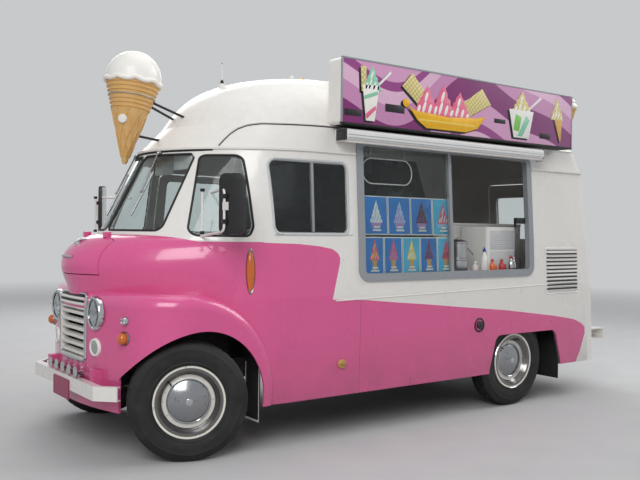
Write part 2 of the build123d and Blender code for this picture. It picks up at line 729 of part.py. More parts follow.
def build_grille():
    """Six bars in a surround."""
    back = NOSE - 60
    front = NOSE - 4
    surround = block(back, front, -GRILLE_HALF, GRILLE_HALF, GRILLE_BOTTOM, GRILLE_TOP)
    surround -= block(
        back, front, -GRILLE_HALF + 10, GRILLE_HALF - 10, GRILLE_BOTTOM + 10, GRILLE_TOP - 10
    )
    pitch = (GRILLE_TOP - GRILLE_BOTTOM - 20) / GRILLE_BARS
    for bar in range(GRILLE_BARS):
        low = GRILLE_BOTTOM + 10 + bar * pitch
        profile = Polyline(
            (back + 5, low + 4),
            (front - 6, low + 14),
            (front, low + 24),
            (front, low + pitch - 18),
            (back + 15, low + pitch - 12),
            close=True,
        )
        plane = Plane(origin=(0, GRILLE_HALF - 9, 0), x_dir=(1, 0, 0), z_dir=(0, -1, 0))
        surround += extrude(plane * make_face(profile), 2 * (GRILLE_HALF - 9))
    add("grille", surround)


def placed(shape, x, y, z, yaw=0.0):
    """Turn a piece drawn along Z to face forward, then set it in place."""
    return Pos(x, y, z) * Rot(0, 0, yaw) * Rot(0, 90, 0) * shape


def revolved(*points):
    """Solid of revolution about Z from (radius, height) points."""
    return revolve(Plane.XZ * make_face(Polyline(*points, close=True)), Axis.Z)


def build_lamps(outer, wing):
    """Headlamps, small lamps, side markers and tail lamps."""
    rim = LAMP_HOLE - SEAT_GAP
    bowl = revolved((0, -90), (60, -90), (rim, -12), (rim, 12), (88, 12), (88, 0), (0, 0))
    lens = revolved((0, SEAT_GAP), (87.7, SEAT_GAP), (87.7, 6), (60, 15), (30, 19), (0, 20))
    bowls = []
    lenses = []
    small = []
    for side in (1, -1):
        x, turn = nose_surface(side * LAMP_Y)
        bowls.append(placed(bowl, x, side * LAMP_Y, LAMP_HEIGHT))
        lenses.append(placed(lens, x, side * LAMP_Y, LAMP_HEIGHT))
        for y, height, radius, depth in SMALL_LAMPS:
            x, turn = nose_surface(side * y)
            body = revolved(
                (0, -30), (radius, -30), (radius, depth * 0.6), (radius * 0.6, depth), (0, depth)
            )
            small.append(placed(body, x, side * y, height, turn) - wing)
    add("headlamps", *bowls)
    add("headlamp_lenses", *lenses)
    teardrop = make_face(
        [
            ThreePointArc((MARKER_X - 28, 1250), (MARKER_X, 1320), (MARKER_X + 28, 1250)),
            Line((MARKER_X + 28, 1250), (MARKER_X + 4, 1045)),
            Line((MARKER_X + 4, 1045), (MARKER_X - 4, 1045)),
            Line((MARKER_X - 4, 1045), (MARKER_X - 28, 1250)),
        ]
    )
    skin = stack(BODY_LEVELS, -18) - stack(BODY_LEVELS)
    plane = Plane(origin=(0, 1200, 0), x_dir=(1, 0, 0), z_dir=(0, -1, 0))
    markers = skin & extrude(plane * teardrop, 2400)
    small += markers.solids()
    for side in (1, -1):
        for height, radius in TAIL_LAMPS:
            lamp = revolved((0, -4), (radius, -4), (radius, 16), (radius * 0.6, 26), (0, 28))
            lamp = Rot(0, -90, 0) * lamp
            small.append(on_tail(lamp, side * 690, height) - outer)
    add("small_lamps", *small)


def wheel():
    """Tyre, rim, hub cap and trim ring about Y, dished towards +Y."""
    half = TYRE_WIDTH / 2
    tread = 66.0
    edge = TYRE_RADIUS - 14
    section = make_face(
        [
            Line((RIM_RADIUS, -62), (RIM_RADIUS, 62)),
            Line((RIM_RADIUS, 62), (RIM_RADIUS + 18, 72)),
            ThreePointArc((RIM_RADIUS + 18, 72), (300, half), (edge, tread + 8)),
            Line((edge, tread + 8), (TYRE_RADIUS, tread - 8)),
            Line((TYRE_RADIUS, tread - 8), (TYRE_RADIUS, 8 - tread)),
            Line((TYRE_RADIUS, 8 - tread), (edge, -tread - 8)),
            ThreePointArc((edge, -tread - 8), (300, -half), (RIM_RADIUS + 18, -72)),
            Line((RIM_RADIUS + 18, -72), (RIM_RADIUS, -62)),
        ]
    )
    tyre = revolve(section, Axis.Y)
    seat = RIM_RADIUS - SEAT_GAP
    rim = [(0, 34), (140, 34), (150, 30), (166, 30), (188, 48), (196, 68), (seat, 70)]
    rim += [(seat, -70), (188, -70), (182, -20), (150, 8), (0, 8)]
    cap = make_face(
        [
            Line((0, 34), (136, 34)),
            Line((136, 34), (136, 42)),
            ThreePointArc((136, 42), (80, 66), (20, 77)),
            Line((20, 77), (0, 77)),
            Line((0, 77), (0, 34)),
        ]
    )
    ring = [(168, 34), (190, 58), (199, 74), (TRIM_RADIUS, 79), (TRIM_RADIUS, 83), (196, 79)]
    ring += [(184, 62), (164, 38)]
    pieces = [revolve(make_face(Polyline(*rim, close=True)), Axis.Y)]
    pieces.append(revolve(cap, Axis.Y))
    pieces.append(revolve(make_face(Polyline(*ring, close=True)), Axis.Y))
    return tyre, pieces


def steered(shape, side):
    """Turn a front piece about its kingpin to the way the truck is parked."""
    there = Pos(FRONT_AXLE, side * KINGPIN_Y, 0)
    back = Pos(-FRONT_AXLE, -side * KINGPIN_Y, 0)
    return there * Rot(0, 0, REST_STEER) * back * shape


def knuckle(side):
    """Steering knuckle: king pin, yoke, stub axle and brake drum."""
    centre = Pos(FRONT_AXLE, side * KINGPIN_Y, TYRE_RADIUS)
    body = centre * Cylinder(KINGPIN_RADIUS, 148)
    for level in (-60, 60):
        body += centre * Pos(0, side * 16, level) * Box(56, 88, 28)
    body += centre * Pos(0, side * 48, 0) * Box(56, 24, 148)
    drum = Cylinder(140, DRUM_OUTER - DRUM_INNER, rotation=(90, 0, 0))
    body += Pos(FRONT_AXLE, side * (DRUM_OUTER + DRUM_INNER) / 2, TYRE_RADIUS) * drum
    return body


def build_running_gear():
    """Wheels, knuckles and axles."""
    for side, name in ((1, "left"), (-1, "right")):
        tyre, pieces = wheel()
        if side < 0:
            tyre = Rot(0, 0, 180) * tyre
            pieces = [Rot(0, 0, 180) * piece for piece in pieces]
        front = Pos(FRONT_AXLE, side * TRACK / 2, TYRE_RADIUS)
        rear = Pos(REAR_AXLE, side * TRACK / 2, TYRE_RADIUS)
        add("tyre_front_" + name, steered(front * tyre, side))
        add("wheel_front_" + name, *[steered(front * piece, side) for piece in pieces])
        add("tyre_rear_" + name, rear * tyre)
        add("wheel_rear_" + name, *[rear * piece for piece in pieces])
        add("knuckle_" + name, steered(knuckle(side), side))
    beam = block(FRONT_AXLE - 28, FRONT_AXLE + 28, -600, 600, 300, 350)
    for side in (1, -1):
        low, high = sorted((side * 570, side * 630))
        beam += block(FRONT_AXLE - 28, FRONT_AXLE + 28, low, high, 300, 415)
        low, high = sorted((side * 620, side * KINGPIN_Y))
        beam += block(FRONT_AXLE - 22, FRONT_AXLE + 22, low, high, 335, 415)
        eye = Pos(FRONT_AXLE, side * KINGPIN_Y, TYRE_RADIUS)
        beam += eye * Cylinder(33, AXLE_EYE)
        beam -= eye * Cylinder(KINGPIN_RADIUS + SEAT_GAP, 200)
    axle = Pos(REAR_AXLE, 0, TYRE_RADIUS) * Cylinder(38, 2 * DRUM_INNER + 4, rotation=(90, 0, 0))
    casing = Cylinder(125, 150, rotation=(90, 0, 0))
    axle += Pos(REAR_AXLE, 0, TYRE_RADIUS) * chamfer(casing.edges(), 30)
    for side in (1, -1):
        drum = Cylinder(140, DRUM_OUTER - DRUM_INNER, rotation=(90, 0, 0))
        axle += Pos(REAR_AXLE, side * (DRUM_OUTER + DRUM_INNER) / 2, TYRE_RADIUS) * drum
    shaft = GEARBOX_BACK - REAR_AXLE - 120
    axle += Pos(REAR_AXLE + 120 + shaft / 2, 0, TYRE_RADIUS) * Cylinder(
        32, shaft, rotation=(0, 90, 0)
    )
    return [beam, axle]


def leaf_spring(axle_x, y, seat, eye_height, half_length):
    """Leaf pack with its two hangers up to the rail."""
    thick = 30.0
    arc = [
        ThreePointArc(
            (axle_x - half_length, eye_height),
            (axle_x, seat),
            (axle_x + half_length, eye_height),
        ),
        Line((axle_x + half_length, eye_height), (axle_x + half_length, eye_height + thick)),
        ThreePointArc(
            (axle_x + half_length, eye_height + thick),
            (axle_x, seat + thick),
            (axle_x - half_length, eye_height + thick),
        ),
        Line((axle_x - half_length, eye_height + thick), (axle_x - half_length, eye_height)),
    ]
    plane = Plane(origin=(0, y + 28, 0), x_dir=(1, 0, 0), z_dir=(0, -1, 0))
    spring = extrude(plane * make_face(arc), 56)
    for end in (-1, 1):
        x = axle_x + end * (half_length - 25)
        spring += block(x - 25, x + 25, y - 28, y + 28, eye_height, RAIL_BOTTOM)
    return spring


def build_chassis(axles):
    """Frame, axles, springs, drive line, exhaust, tank and floor."""
    frame = None
    for side in (1, -1):
        y = side * RAIL_Y
        rail = block(REAR_FACE + 60, BUMPER_BACK, y - 30, y + 30, RAIL_BOTTOM, RAIL_TOP)
        frame = rail if frame is None else frame + rail
        low, high = sorted((side * 200, side * 380))
        frame += block(ENGINE_BACK + 200, ENGINE_BACK + 260, low, high, 470, 520)
    for station in CROSS_MEMBERS:
        frame += block(station - 30, station + 30, -RAIL_Y, RAIL_Y, RAIL_BOTTOM + 30, RAIL_TOP - 20)
    hitch = block(REAR_FACE + 65, REAR_FACE + 125, -60, 60, TOW_BOTTOM, RAIL_TOP - 20)
    hitch += block(REAR_FACE + 5, REAR_FACE + 125, -60, 60, TOW_BOTTOM, TOW_BOTTOM + TOW_PLATE)
    frame += hitch
    frame -= Pos(TOW_X, 0, TOW_BOTTOM) * Cylinder(TOW_BORE / 2, 200)
    engine = block(ENGINE_BACK, ENGINE_BACK + 560, -200, 200, 430, 890)
    engine += block(GEARBOX_BACK, ENGINE_BACK, -110, 110, 340, RAIL_TOP - 5)
    radiator = block(NOSE - 190, NOSE - 110, -210, 210, RAIL_TOP - 20, 980)
    add("engine", engine, radiator)
    frame -= engine
    add("chassis_frame", frame)
    springs = list(axles)
    for side in (1, -1):
        springs.append(leaf_spring(REAR_AXLE, side * RAIL_Y, 307, 385, 560))
        springs.append(leaf_spring(FRONT_AXLE, side * RAIL_Y, 350, 390, 430))
    add("axles_and_springs", *springs)
    silencer = Pos(0, -250, 375) * Cylinder(75, 520, rotation=(0, 90, 0))
    pipes = tube([(ENGINE_BACK + 100, -235, 400), (900, -250, 375), (200, -250, 375)], 22, 300)
    tail = tube([(-200, -250, 375), (-560, -250, 300), (-1600, -250, 300), (-2280, -250, 268)], 22, 200)
    station = CROSS_MEMBERS[3]
    hanger = block(station - 8, station + 8, -262, -238, 440, RAIL_BOTTOM + 30)
    add("exhaust", silencer + pipes + tail + hanger)
    y0 = RAIL_Y + 30
    tank = block(TANK_FRONT - 480, TANK_FRONT, y0, y0 + 430, 330, RAIL_TOP - 2)
    add("fuel_tank", fillet(tank.edges().filter_by(Axis.X), 40))


def build_floor(inner, wing):
    """Floor plate, bearers and the boxes over the rear wheels."""
    floor = inner & block(-FAR, CAB_SEAM + 100, -FAR, FAR, FLOOR_TOP - 20, FLOOR_TOP)
    x0 = REAR_ARCH_BACK - 20
    x1 = REAR_ARCH_FRONT + 20
    for side in (1, -1):
        low, high = sorted((side * 660, side * FAR))
        floor -= block(x0, x1, low, high, 0, FAR)
        box = inner & block(x0 - 8, x1 + 8, low, high, FLOOR_TOP - 20, 800)
        low, high = sorted((side * 668, side * FAR))
        floor += box - block(x0, x1, low, high, 0, 792)
    for station in BEARERS:
        floor += inner & block(station - 25, station + 25, -850, 850, RAIL_TOP, FLOOR_TOP - 20)
    floor -= wing
    door_reach = sqrt((HINGE_X - WING_SWEEP_X + WING_SWEEP) ** 2 + (HINGE_Y - DOOR_RETURN) ** 2)
    floor -= Pos(HINGE_X, -HINGE_Y, FLOOR_TOP) * Cylinder(door_reach + DOOR_GAP, 200)
    add("floor", floor)


def build_fittings(outer):
    """Bumpers, horns, plates, mirrors, wipers, gutters, louvre, flaps and caps."""
    add("bumpers", front_bumper(), rear_step())
    horns = block(BUMPER_BACK + 8, BUMPER_BACK + 20, -290, 290, BUMPER_TOP + 22, BUMPER_TOP + 34)
    for y in (-240, 0, 240):
        horns += block(
            BUMPER_BACK + 8, BUMPER_BACK + 20, y - 8, y + 8, BUMPER_TOP, BUMPER_TOP + 34
        )
    trumpet = revolved((0, -20), (9, -20), (10, 0), (14, 14), (22, 24), (34, 30), (34, 34), (0, 34))
    for y in HORNS:
        horns += placed(trumpet, BUMPER_BACK + 14, y, BUMPER_TOP + 44)
    add("horns", horns)
    plate = block(FRONT_FACE - 4, FRONT_FACE, -PLATE_HALF, PLATE_HALF, 325, 455)
    rear_plate = block(-12, -8, -PLATE_HALF, PLATE_HALF, -65, 65)
    rear_plate += block(-12, 0, -30, 30, -30, 30)
    rear_plate = on_tail(rear_plate, -490, 720) - outer
    add("number_plates", plate, rear_plate)
    add("mirrors", *both_sides(mirror_arm()))
    wipers = []
    for y in WIPERS:
        wipers.append(wiper(y) - outer)
    add("wipers", *wipers)
    gutter = extrude(Plane.XY.offset(GUTTER_HEIGHT - 8) * level_plan(15), 14) - outer
    gutter -= block(HATCH_BACK - 40, HATCH_FRONT + 40, 0, FAR, 0, FAR)
    add("gutters", *gutter.solids())
    add("louvre_vent", louvre())
    flaps = []
    front_flap = CAB_SEAM + SEAT_GAP
    flap_run = WING_SWEEP_X - front_flap
    flap_top = WING_SWEEP_HEIGHT + sqrt((WING_SWEEP - WING_WALL) ** 2 - flap_run**2) - SEAT_GAP
    for side in (1, -1):
        low, high = sorted((side * 640, side * 825))
        flaps.append(block(front_flap, front_flap + 6, low, high, 170, flap_top))
        low, high = sorted((side * 650, side * 880))
        flaps.append(block(REAR_ARCH_BACK - 34, REAR_ARCH_BACK - 28, low, high, 170, FLOOR_TOP - 20))
    add("mud_flaps", *flaps)
    cap = revolved((0, -10), (32, -10), (32, 14), (26, 22), (0, 24))
    caps = []
    for x, z in FUEL_CAPS:
        caps.append(Pos(x, body_side(x, z), z) * Rot(-90, 0, 0) * cap - outer)
    add("filler_caps", *caps)


def level_plan(grow):
    """Plan outline of the body at gutter height, grown outwards."""
    height, nose, side, half_width, front_radius, tail, tail_radius = BODY_LEVELS[3]
    return outline(
        CAB_SEAM + nose + grow,
        CAB_SEAM + side,
        half_width + grow,
        front_radius + grow,
        TAIL + tail - grow,
        tail_radius + grow,
    )


def front_bumper():
    """Pressed channel with swept ends, and pads to the frame."""
    face = FRONT_FACE - 4

    def plan(inset, back):
        points = [
            (face - inset, BUMPER_STRAIGHT - inset / 3),
            (face - BUMPER_SWEEP - inset, BUMPER_STRAIGHT + BUMPER_SWEEP - inset / 3),
            (back - 88, BUMPER_STRAIGHT + BUMPER_SWEEP - 15 - inset),
            (back, BUMPER_STRAIGHT + 7),
        ]
        points += [(x, -y) for x, y in reversed(points)]
        return make_face(Polyline(*points, close=True))

    bar = extrude(Plane.XY.offset(BUMPER_TOP - 90) * plan(0, BUMPER_BACK), 90)
    hollow = extrude(Plane.XY.offset(BUMPER_TOP - 82) * plan(8, BUMPER_BACK - 20), 74)
    bar -= hollow
    for side in (1, -1):
        y = side * RAIL_Y
        bar += block(BUMPER_BACK, face - 8, y - 30, y + 30, BUMPER_TOP - 82, BUMPER_TOP - 8)
    return bar


def rear_step():
    """Channel across the back with a deck on the frame's ends."""
    bar = block(REAR_FACE, REAR_FACE + 60, -800, 800, RAIL_TOP - 88, RAIL_TOP + 12)
    bar -= block(REAR_FACE + 8, REAR_FACE + 60, -800, 800, RAIL_TOP - 80, RAIL_TOP)
    bar += block(REAR_FACE + 50, tail_x(RAIL_TOP) - 20, -780, 780, RAIL_TOP, RAIL_TOP + 12)
    return bar


def mirror_arm():
    """Left mirror: bent tube on two brackets with an upright head."""
    arm = tube(
        [
            (body_front(650, 1690) - 6, 645, 1690),
            (MIRROR_X + 45, MIRROR_Y - 20, 1700),
            (MIRROR_X + 45, MIRROR_Y - 20, 1440),
            (body_front(700, 1405) - 6, 695, 1405),
        ],
        8,
        40,
    )
    arm -= stack(BODY_LEVELS)
    head = Box(24, 170, 372)
    head = fillet(head.edges().filter_by(Axis.X), 40)
    head = fillet(head.faces().sort_by(Axis.X)[-1].edges(), 8)
    head = Pos(MIRROR_X, MIRROR_Y, 1610) * Rot(0, 0, MIRROR_TURN) * head
    clamp = block(MIRROR_X, MIRROR_X + 52, MIRROR_Y - 32, MIRROR_Y - 8, 1570, 1620)
    return arm + head + clamp


def wiper(y):
    """Pivot above the windscreen with its arm and blade."""
    top = SCREEN_HIGH + 17.0
    low = (SCREEN_LOW + SCREEN_HIGH) / 2
    side = 40.0
    pivot = placed(revolved((0, -4), (16, -4), (16, 22), (10, 30), (0, 30)), body_front(y, top), y, top)
    x0 = body_front(y, top) + 22
    x1 = body_front(y + side, low) + 26
    arm = tube([(x0, y, top), (x1, y + side, low)], 5, 1)
    x2 = body_front(y + side, low + 140) + 12
    x3 = body_front(y + side, low - 160) + 12
    blade = tube([(x2, y + side, low + 140), (x3, y + side, low - 160)], 7, 1)
    return pivot + arm + blade + Pos(x1 - 6, y + side, low) * Box(26, 12, 12)


def louvre():
    """Vent plate with eleven slats standing off the wall."""
    plate = stack(BODY_LEVELS, -4) - stack(BODY_LEVELS)
    plate = plate & block(LOUVRE_BACK, LOUVRE_FRONT, 600, FAR, LOUVRE_BOTTOM, LOUVRE_TOP)
    slats = stack(BODY_LEVELS, -14) - stack(BODY_LEVELS, -4)
    pitch = (LOUVRE_TOP - LOUVRE_BOTTOM - 20) / LOUVRE_SLATS
    for slat in range(LOUVRE_SLATS):
        low = LOUVRE_BOTTOM + 14 + slat * pitch
        plate += slats & block(
            LOUVRE_BACK + 12, LOUVRE_FRONT - 12, 600, FAR, low, low + pitch * 0.45
        )
    return plate


def build_roof_things(outer):
    """Sign box, awning housing, cone, aerial and roof vent."""
    dome = roof_volume()
    back = SIGN_FRONT - SIGN_LENGTH
    sign = block(back, SIGN_FRONT, SIGN_OUTER - SIGN_DEPTH, SIGN_OUTER, SIGN_BOTTOM, SIGN_TOP)
    sign = fillet(sign.edges().filter_by(Axis.Y), 30)
    for share in (0.12, 0.37, 0.63, 0.88):
        x = back + share * SIGN_LENGTH
        for z in (SIGN_BOTTOM + 40, SIGN_TOP - 200):
            strut = block(x - 15, x + 15, 300, SIGN_OUTER - SIGN_DEPTH, z, z + 30)
            sign += strut - dome - outer
    add("sign_box", sign)
    awning = block(
        AWNING_FRONT - AWNING_LENGTH, AWNING_FRONT, 700, SIGN_OUTER, AWNING_BOTTOM, AWNING_TOP
    )
    awning = fillet(awning.edges().filter_by(Axis.X).sort_by(Axis.Y)[-2:], 25)
    add("awning_housing", awning - stack(BODY_LEVELS, -HATCH_PROUD))
    brim = CONE_HEIGHT + 25
    cone = revolved((0, 0), (14, 0), (CONE_RADIUS, CONE_HEIGHT), (CONE_RADIUS, brim), (0, brim))
    scoop = Pos(0, 0, CONE_HEIGHT + 45) * Sphere(CONE_RADIUS + 8)
    scoop -= block(-400, 400, -400, 400, 0, brim)
    tilt = Pos(CONE_X, 0, CONE_TIP) * Rot(0, -CONE_TILT, 0)
    cone_body = tilt * (cone + scoop)
    add("cone", cone_body)
    fittings = []
    for y in (-70, 70):
        bar = tube([(1560, 1.3 * y, 2235), (1900, y * 0.6, 2360)], 9, 1)
        bar = bar - dome - outer - cone_body
        fittings.append(bar.solids().sort_by(Axis.X)[-1])
    foot = tube([(1700, 0, 2075), (1990, 0, 2110)], 9, 1) - outer - dome - cone_body
    fittings.append(foot.solids().sort_by(Axis.X)[-1])
    base = Pos(1314, 100, 0) * Cylinder(22, 5400) - dome
    base = base & block(1200, 1400, 0, 200, 2300, 2528)
    whip = Pos(1314, 100, 2600) * Cylinder(2.5, 150)
    fittings.append(base.solids().sort_by(Axis.Z)[-1] + whip)
    vent = Pos(-400, 0, 0) * Cylinder(160, 5400) & block(-700, 0, -300, 300, 2500, ROOF_HEIGHT + 60)
    add("roof_fittings", *fittings, vent - dome)


def build_inside(inner, wing):
    """Counter, cabinets, machine, seat and controls seen through the glass."""
    side = 845.0
    counter = block(HATCH_BACK + 60, HATCH_FRONT - 60, 460, side, FLOOR_TOP, 1060)
    counter += block(HATCH_BACK + 40, HATCH_FRONT - 40, 440, side + 10, 1060, 1095)
    wheel_box = block(REAR_ARCH_BACK - 28, REAR_ARCH_FRONT + 28, 660, FAR, 0, 800)
    units = [(counter & inner) - wheel_box]
    cabinets = block(REAR_ARCH_FRONT + 60, DOOR_BACK - 100, -side, -420, FLOOR_TOP, 1400)
    units.append(cabinets & inner)
    machine = block(-1180, -820, 480, 800, 1095, 1500)
    machine = fillet(machine.edges().filter_by(Axis.Z), 30)
    nozzle = Pos(-1000, 470, 1330) * Cylinder(25, 90)
    add("machine", machine + nozzle)
    seat = block(850, 1250, -640, -180, FLOOR_TOP, 820)
    cushion = fillet(block(840, 1280, -650, -170, 820, 930).edges().filter_by(Axis.Z), 40)
    backrest = fillet(block(800, 880, -650, -170, 930, 1480).edges().filter_by(Axis.X), 60)
    add("interior_units", *units, seat)
    add("seat", cushion + backrest)
    dash = inner & block(2000, FAR, -FAR, FAR, 1285, 1375)
    ring = Pos(1440, DRIVER_Y, 1290) * Rot(0, -55, 0) * Torus(205, 12)
    hub = Pos(1440, DRIVER_Y, 1290) * Rot(0, -55, 0) * Cylinder(35, 30)
    wheel_bars = Pos(1440, DRIVER_Y, 1290) * Rot(0, -55, 0) * Box(400, 18, 10)
    column = tube([(1440, DRIVER_Y, 1290), (1849, DRIVER_Y, 1003)], 18, 1) - wing
    add("controls", dash, ring + hub + wheel_bars + column)


if __name__ == "__main__":
    body_outer = stack(BODY_LEVELS)
    body_inner = stack(BODY_LEVELS, WALL)
    wings = wing_volume()
    hinge_bracket = build_body(body_outer, body_inner, wings)
    build_glass()
    build_front(body_outer, wings, hinge_bracket)
    build_lamps(body_outer, wings)
    axle_pieces = build_running_gear()
    build_chassis(axle_pieces)
    build_floor(body_inner, wings)
    build_fittings(body_outer)
    build_roof_things(body_outer)
    build_inside(body_inner, wings)
    os.makedirs("parts", exist_ok=True)
    for node, shape in parts.items():
        export_step(shape, "parts/" + node + ".step")
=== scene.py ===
import math
import random

import bpy
from mathutils import Matrix, Vector


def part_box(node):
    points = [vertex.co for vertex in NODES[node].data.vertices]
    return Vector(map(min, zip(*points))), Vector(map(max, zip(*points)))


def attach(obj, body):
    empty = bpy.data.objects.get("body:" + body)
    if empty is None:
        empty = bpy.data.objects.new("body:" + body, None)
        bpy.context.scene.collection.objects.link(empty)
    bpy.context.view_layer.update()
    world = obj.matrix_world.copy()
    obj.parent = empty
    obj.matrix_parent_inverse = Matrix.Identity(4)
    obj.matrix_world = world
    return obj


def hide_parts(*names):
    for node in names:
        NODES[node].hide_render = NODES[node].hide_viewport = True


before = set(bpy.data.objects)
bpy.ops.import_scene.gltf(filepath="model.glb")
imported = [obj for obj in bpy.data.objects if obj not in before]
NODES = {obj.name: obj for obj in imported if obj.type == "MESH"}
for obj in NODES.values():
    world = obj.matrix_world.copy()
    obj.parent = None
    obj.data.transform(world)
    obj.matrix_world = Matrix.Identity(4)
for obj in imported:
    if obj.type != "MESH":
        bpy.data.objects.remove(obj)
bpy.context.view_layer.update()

bl_info = {
    "name": "Ice cream truck dressing",
    "version": (1, 0, 0),
    "blender": (4, 5, 0),
    "location": "View3D > Sidebar > Truck",
    "description": "Paint, trim, wheels, roof sign and goods of an ice cream truck",
    "category": "Object",
}

# Heights and places along the truck that several pieces share
BELT = 1.38
CAB_SEAM = 1.412
CONE_FOOT = Vector((2.028, 0.0, 1.900))
CONE_LEAN = math.radians(-6.0)
CONE_SLOPE = 0.168 / 0.560
CONE_BRIM = 0.5851
# Back, front, foot and top of the hatch opening and of the roof sign
HATCH = (-1.238, 0.622, 1.120, 2.090)
SIGN = (-1.648, 0.892, 2.185, 2.645)
SIGN_FACE = 1.0
# Distance from which points are dropped onto the truck
FAR = 3.0
NOSE = "nose_panel wing_left wing_right"

# Body, hub centre and outward axle direction of each wheel
WHEELS = [
    ("wheel_front_left", (1.92249, 0.77927, 0.375), (0.34202, 0.93969, 0.0)),
    ("wheel_front_right", (1.85751, -0.77927, 0.375), (-0.34202, -0.93969, 0.0)),
    ("wheel_rear_left", (-1.080, 0.785, 0.375), (0.0, 1.0, 0.0)),
    ("wheel_rear_right", (-1.080, -0.785, 0.375), (0.0, -1.0, 0.0)),
]

# Height of the side's wide points and how far they stand from the centreline
SIDE_LINE = [(0.30, 0.906), (1.00, 0.920), (1.38, 0.905), (2.00, 0.865), (2.18, 0.845)]
# Height, nose ahead of the cab seam and nose radius of the upper cab
FRONT_LINE = [(0.30, 0.770, 0.800), (1.38, 0.770, 0.800), (2.00, 0.440, 0.770), (2.18, 0.262, 0.750)]

# The louvre: foot of its lowest slat, pitch and count of the slats, its ends along the side
LOUVRE_FIRST, LOUVRE_PITCH, LOUVRE_SLATS = 0.944, 0.03373, 11
LOUVRE_BACK, LOUVRE_FRONT = -1.873, -1.447
# Share of the pitch at which the painted shade under a slat starts
LOUVRE_SHADE_START = 0.56
# Along the side: the panel seam, where the lining of the box ends and where the cab's paint starts
SEAM_X, SEAM_TOP = 0.632, 0.955
LINING_END = 0.640
CAB_INSIDE = 0.660
ROAD_DIRT = (86, 74, 62)


# measuring


def between(rows, height):
    """Values of a table of levels at one height."""
    for low, high in zip(rows, rows[1:]):
        if height <= high[0]:
            share = max(0.0, (height - low[0]) / (high[0] - low[0]))
            return [a + (b - a) * share for a, b in zip(low[1:], high[1:])]
    return list(rows[-1][1:])


def side_y(height):
    """Distance of the straight side from the centreline."""
    return between(SIDE_LINE, height)[0]


def front_x(y, height):
    """X of the cab's front at a distance from the centreline."""
    nose, radius = between(FRONT_LINE, height)
    return CAB_SEAM + nose - radius + math.sqrt(radius**2 - y**2)


def tail_x(height):
    """X of the leaning rear wall."""
    return -2.230 + (height - 0.300) / 14.0


def rounded(corners, radius, steps=6):
    """Closed outline with its corners rounded, as (u, v) pairs."""
    points = []
    count = len(corners)
    for index in range(count):
        here = Vector(corners[index])
        before = (Vector(corners[index - 1]) - here).normalized()
        after = (Vector(corners[(index + 1) % count]) - here).normalized()
        half = before.angle(after) / 2
        reach = radius / math.tan(half)
        centre = here + (before + after).normalized() * radius / math.sin(half)
        start = here + before * reach - centre
        end = here + after * reach - centre
        turn = start.angle_signed(end)
        for step in range(steps + 1):
            spoke = Matrix.Rotation(-turn * step / steps, 2) @ start
            points.append(tuple(centre + spoke))
    return points


def rectangle(u0, u1, v0, v1):
    return [(u0, v0), (u1, v0), (u1, v1), (u0, v1)]


def srgb(red, green, blue):
    """Scene-linear colour of a 0 to 255 screen colour."""
    out = []
    for part in (red, green, blue):
        part /= 255.0
        out.append(part / 12.92 if part <= 0.04045 else ((part + 0.055) / 1.055) ** 2.4)
    return tuple(out) + (1.0,)


# materials


def add_node(tree, kind, inputs=None, **settings):
    """One shader node with its settings and its inputs, linked or set."""
    made = tree.nodes.new(kind)
    for key, value in settings.items():
        setattr(made, key, value)
    for key, value in (inputs or {}).items():
        if isinstance(value, bpy.types.NodeSocket):
            tree.links.new(value, made.inputs[key])
        else:
            socket = made.inputs[key]
            socket.default_value = tuple(value)[:3] if socket.type == "VECTOR" else value
    return made


def sum_of(tree, operation, first, second=0.0):
    return add_node(tree, "ShaderNodeMath", {0: first, 1: second}, operation=operation).outputs[0]


def above(tree, value, limit):
    """1 where a value is over a limit."""
    return sum_of(tree, "GREATER_THAN", value, limit)


def below(tree, value, limit):
    return sum_of(tree, "LESS_THAN", value, limit)


def times(tree, first, second):
    return sum_of(tree, "MULTIPLY", first, second)


def ranged(tree, value, low=0.0, high=1.0, to_low=0.0, to_high=1.0):
    """A value moved from one range into another and kept within it."""
    limits = {"Value": value, "From Min": low, "From Max": high, "To Min": to_low, "To Max": to_high}
    return add_node(tree, "ShaderNodeMapRange", limits).outputs[0]


def noise(tree, place, scale, detail):
    return add_node(tree, "ShaderNodeTexNoise",
                    {"Vector": place, "Scale": scale, "Detail": detail}).outputs[0]


def vector(tree, operation, first, second=(0.0, 0.0, 0.0)):
    node = add_node(tree, "ShaderNodeVectorMath", {0: first, 1: second}, operation=operation)
    return node.outputs["Value" if operation in ("LENGTH", "DOT_PRODUCT") else "Vector"]


def shaded(tree, colour, amount):
    """A colour made lighter or darker by an amount."""
    return add_node(tree, "ShaderNodeVectorMath", {0: colour, "Scale": amount},
                    operation="SCALE").outputs[0]


def lay(tree, shader, socket, value):
    tree.links.new(value, shader.inputs[socket])


def bumped(tree, shader, strength, distance, height):
    bump = add_node(tree, "ShaderNodeBump", {"Strength": strength, "Distance": distance, "Height": height})
    lay(tree, shader, "Normal", bump.outputs[0])


def mixed(tree, share, first, second):
    """Colour between two by a share."""
    node = add_node(tree, "ShaderNodeMix", {0: share, 6: first, 7: second}, data_type="RGBA")
    return node.outputs[2]


def axes_of(tree):
    """Object coordinates and their three parts."""
    place = add_node(tree, "ShaderNodeTexCoord").outputs["Object"]
    split = add_node(tree, "ShaderNodeSeparateXYZ", {0: place})
    return place, split.outputs[0], split.outputs[1], split.outputs[2]


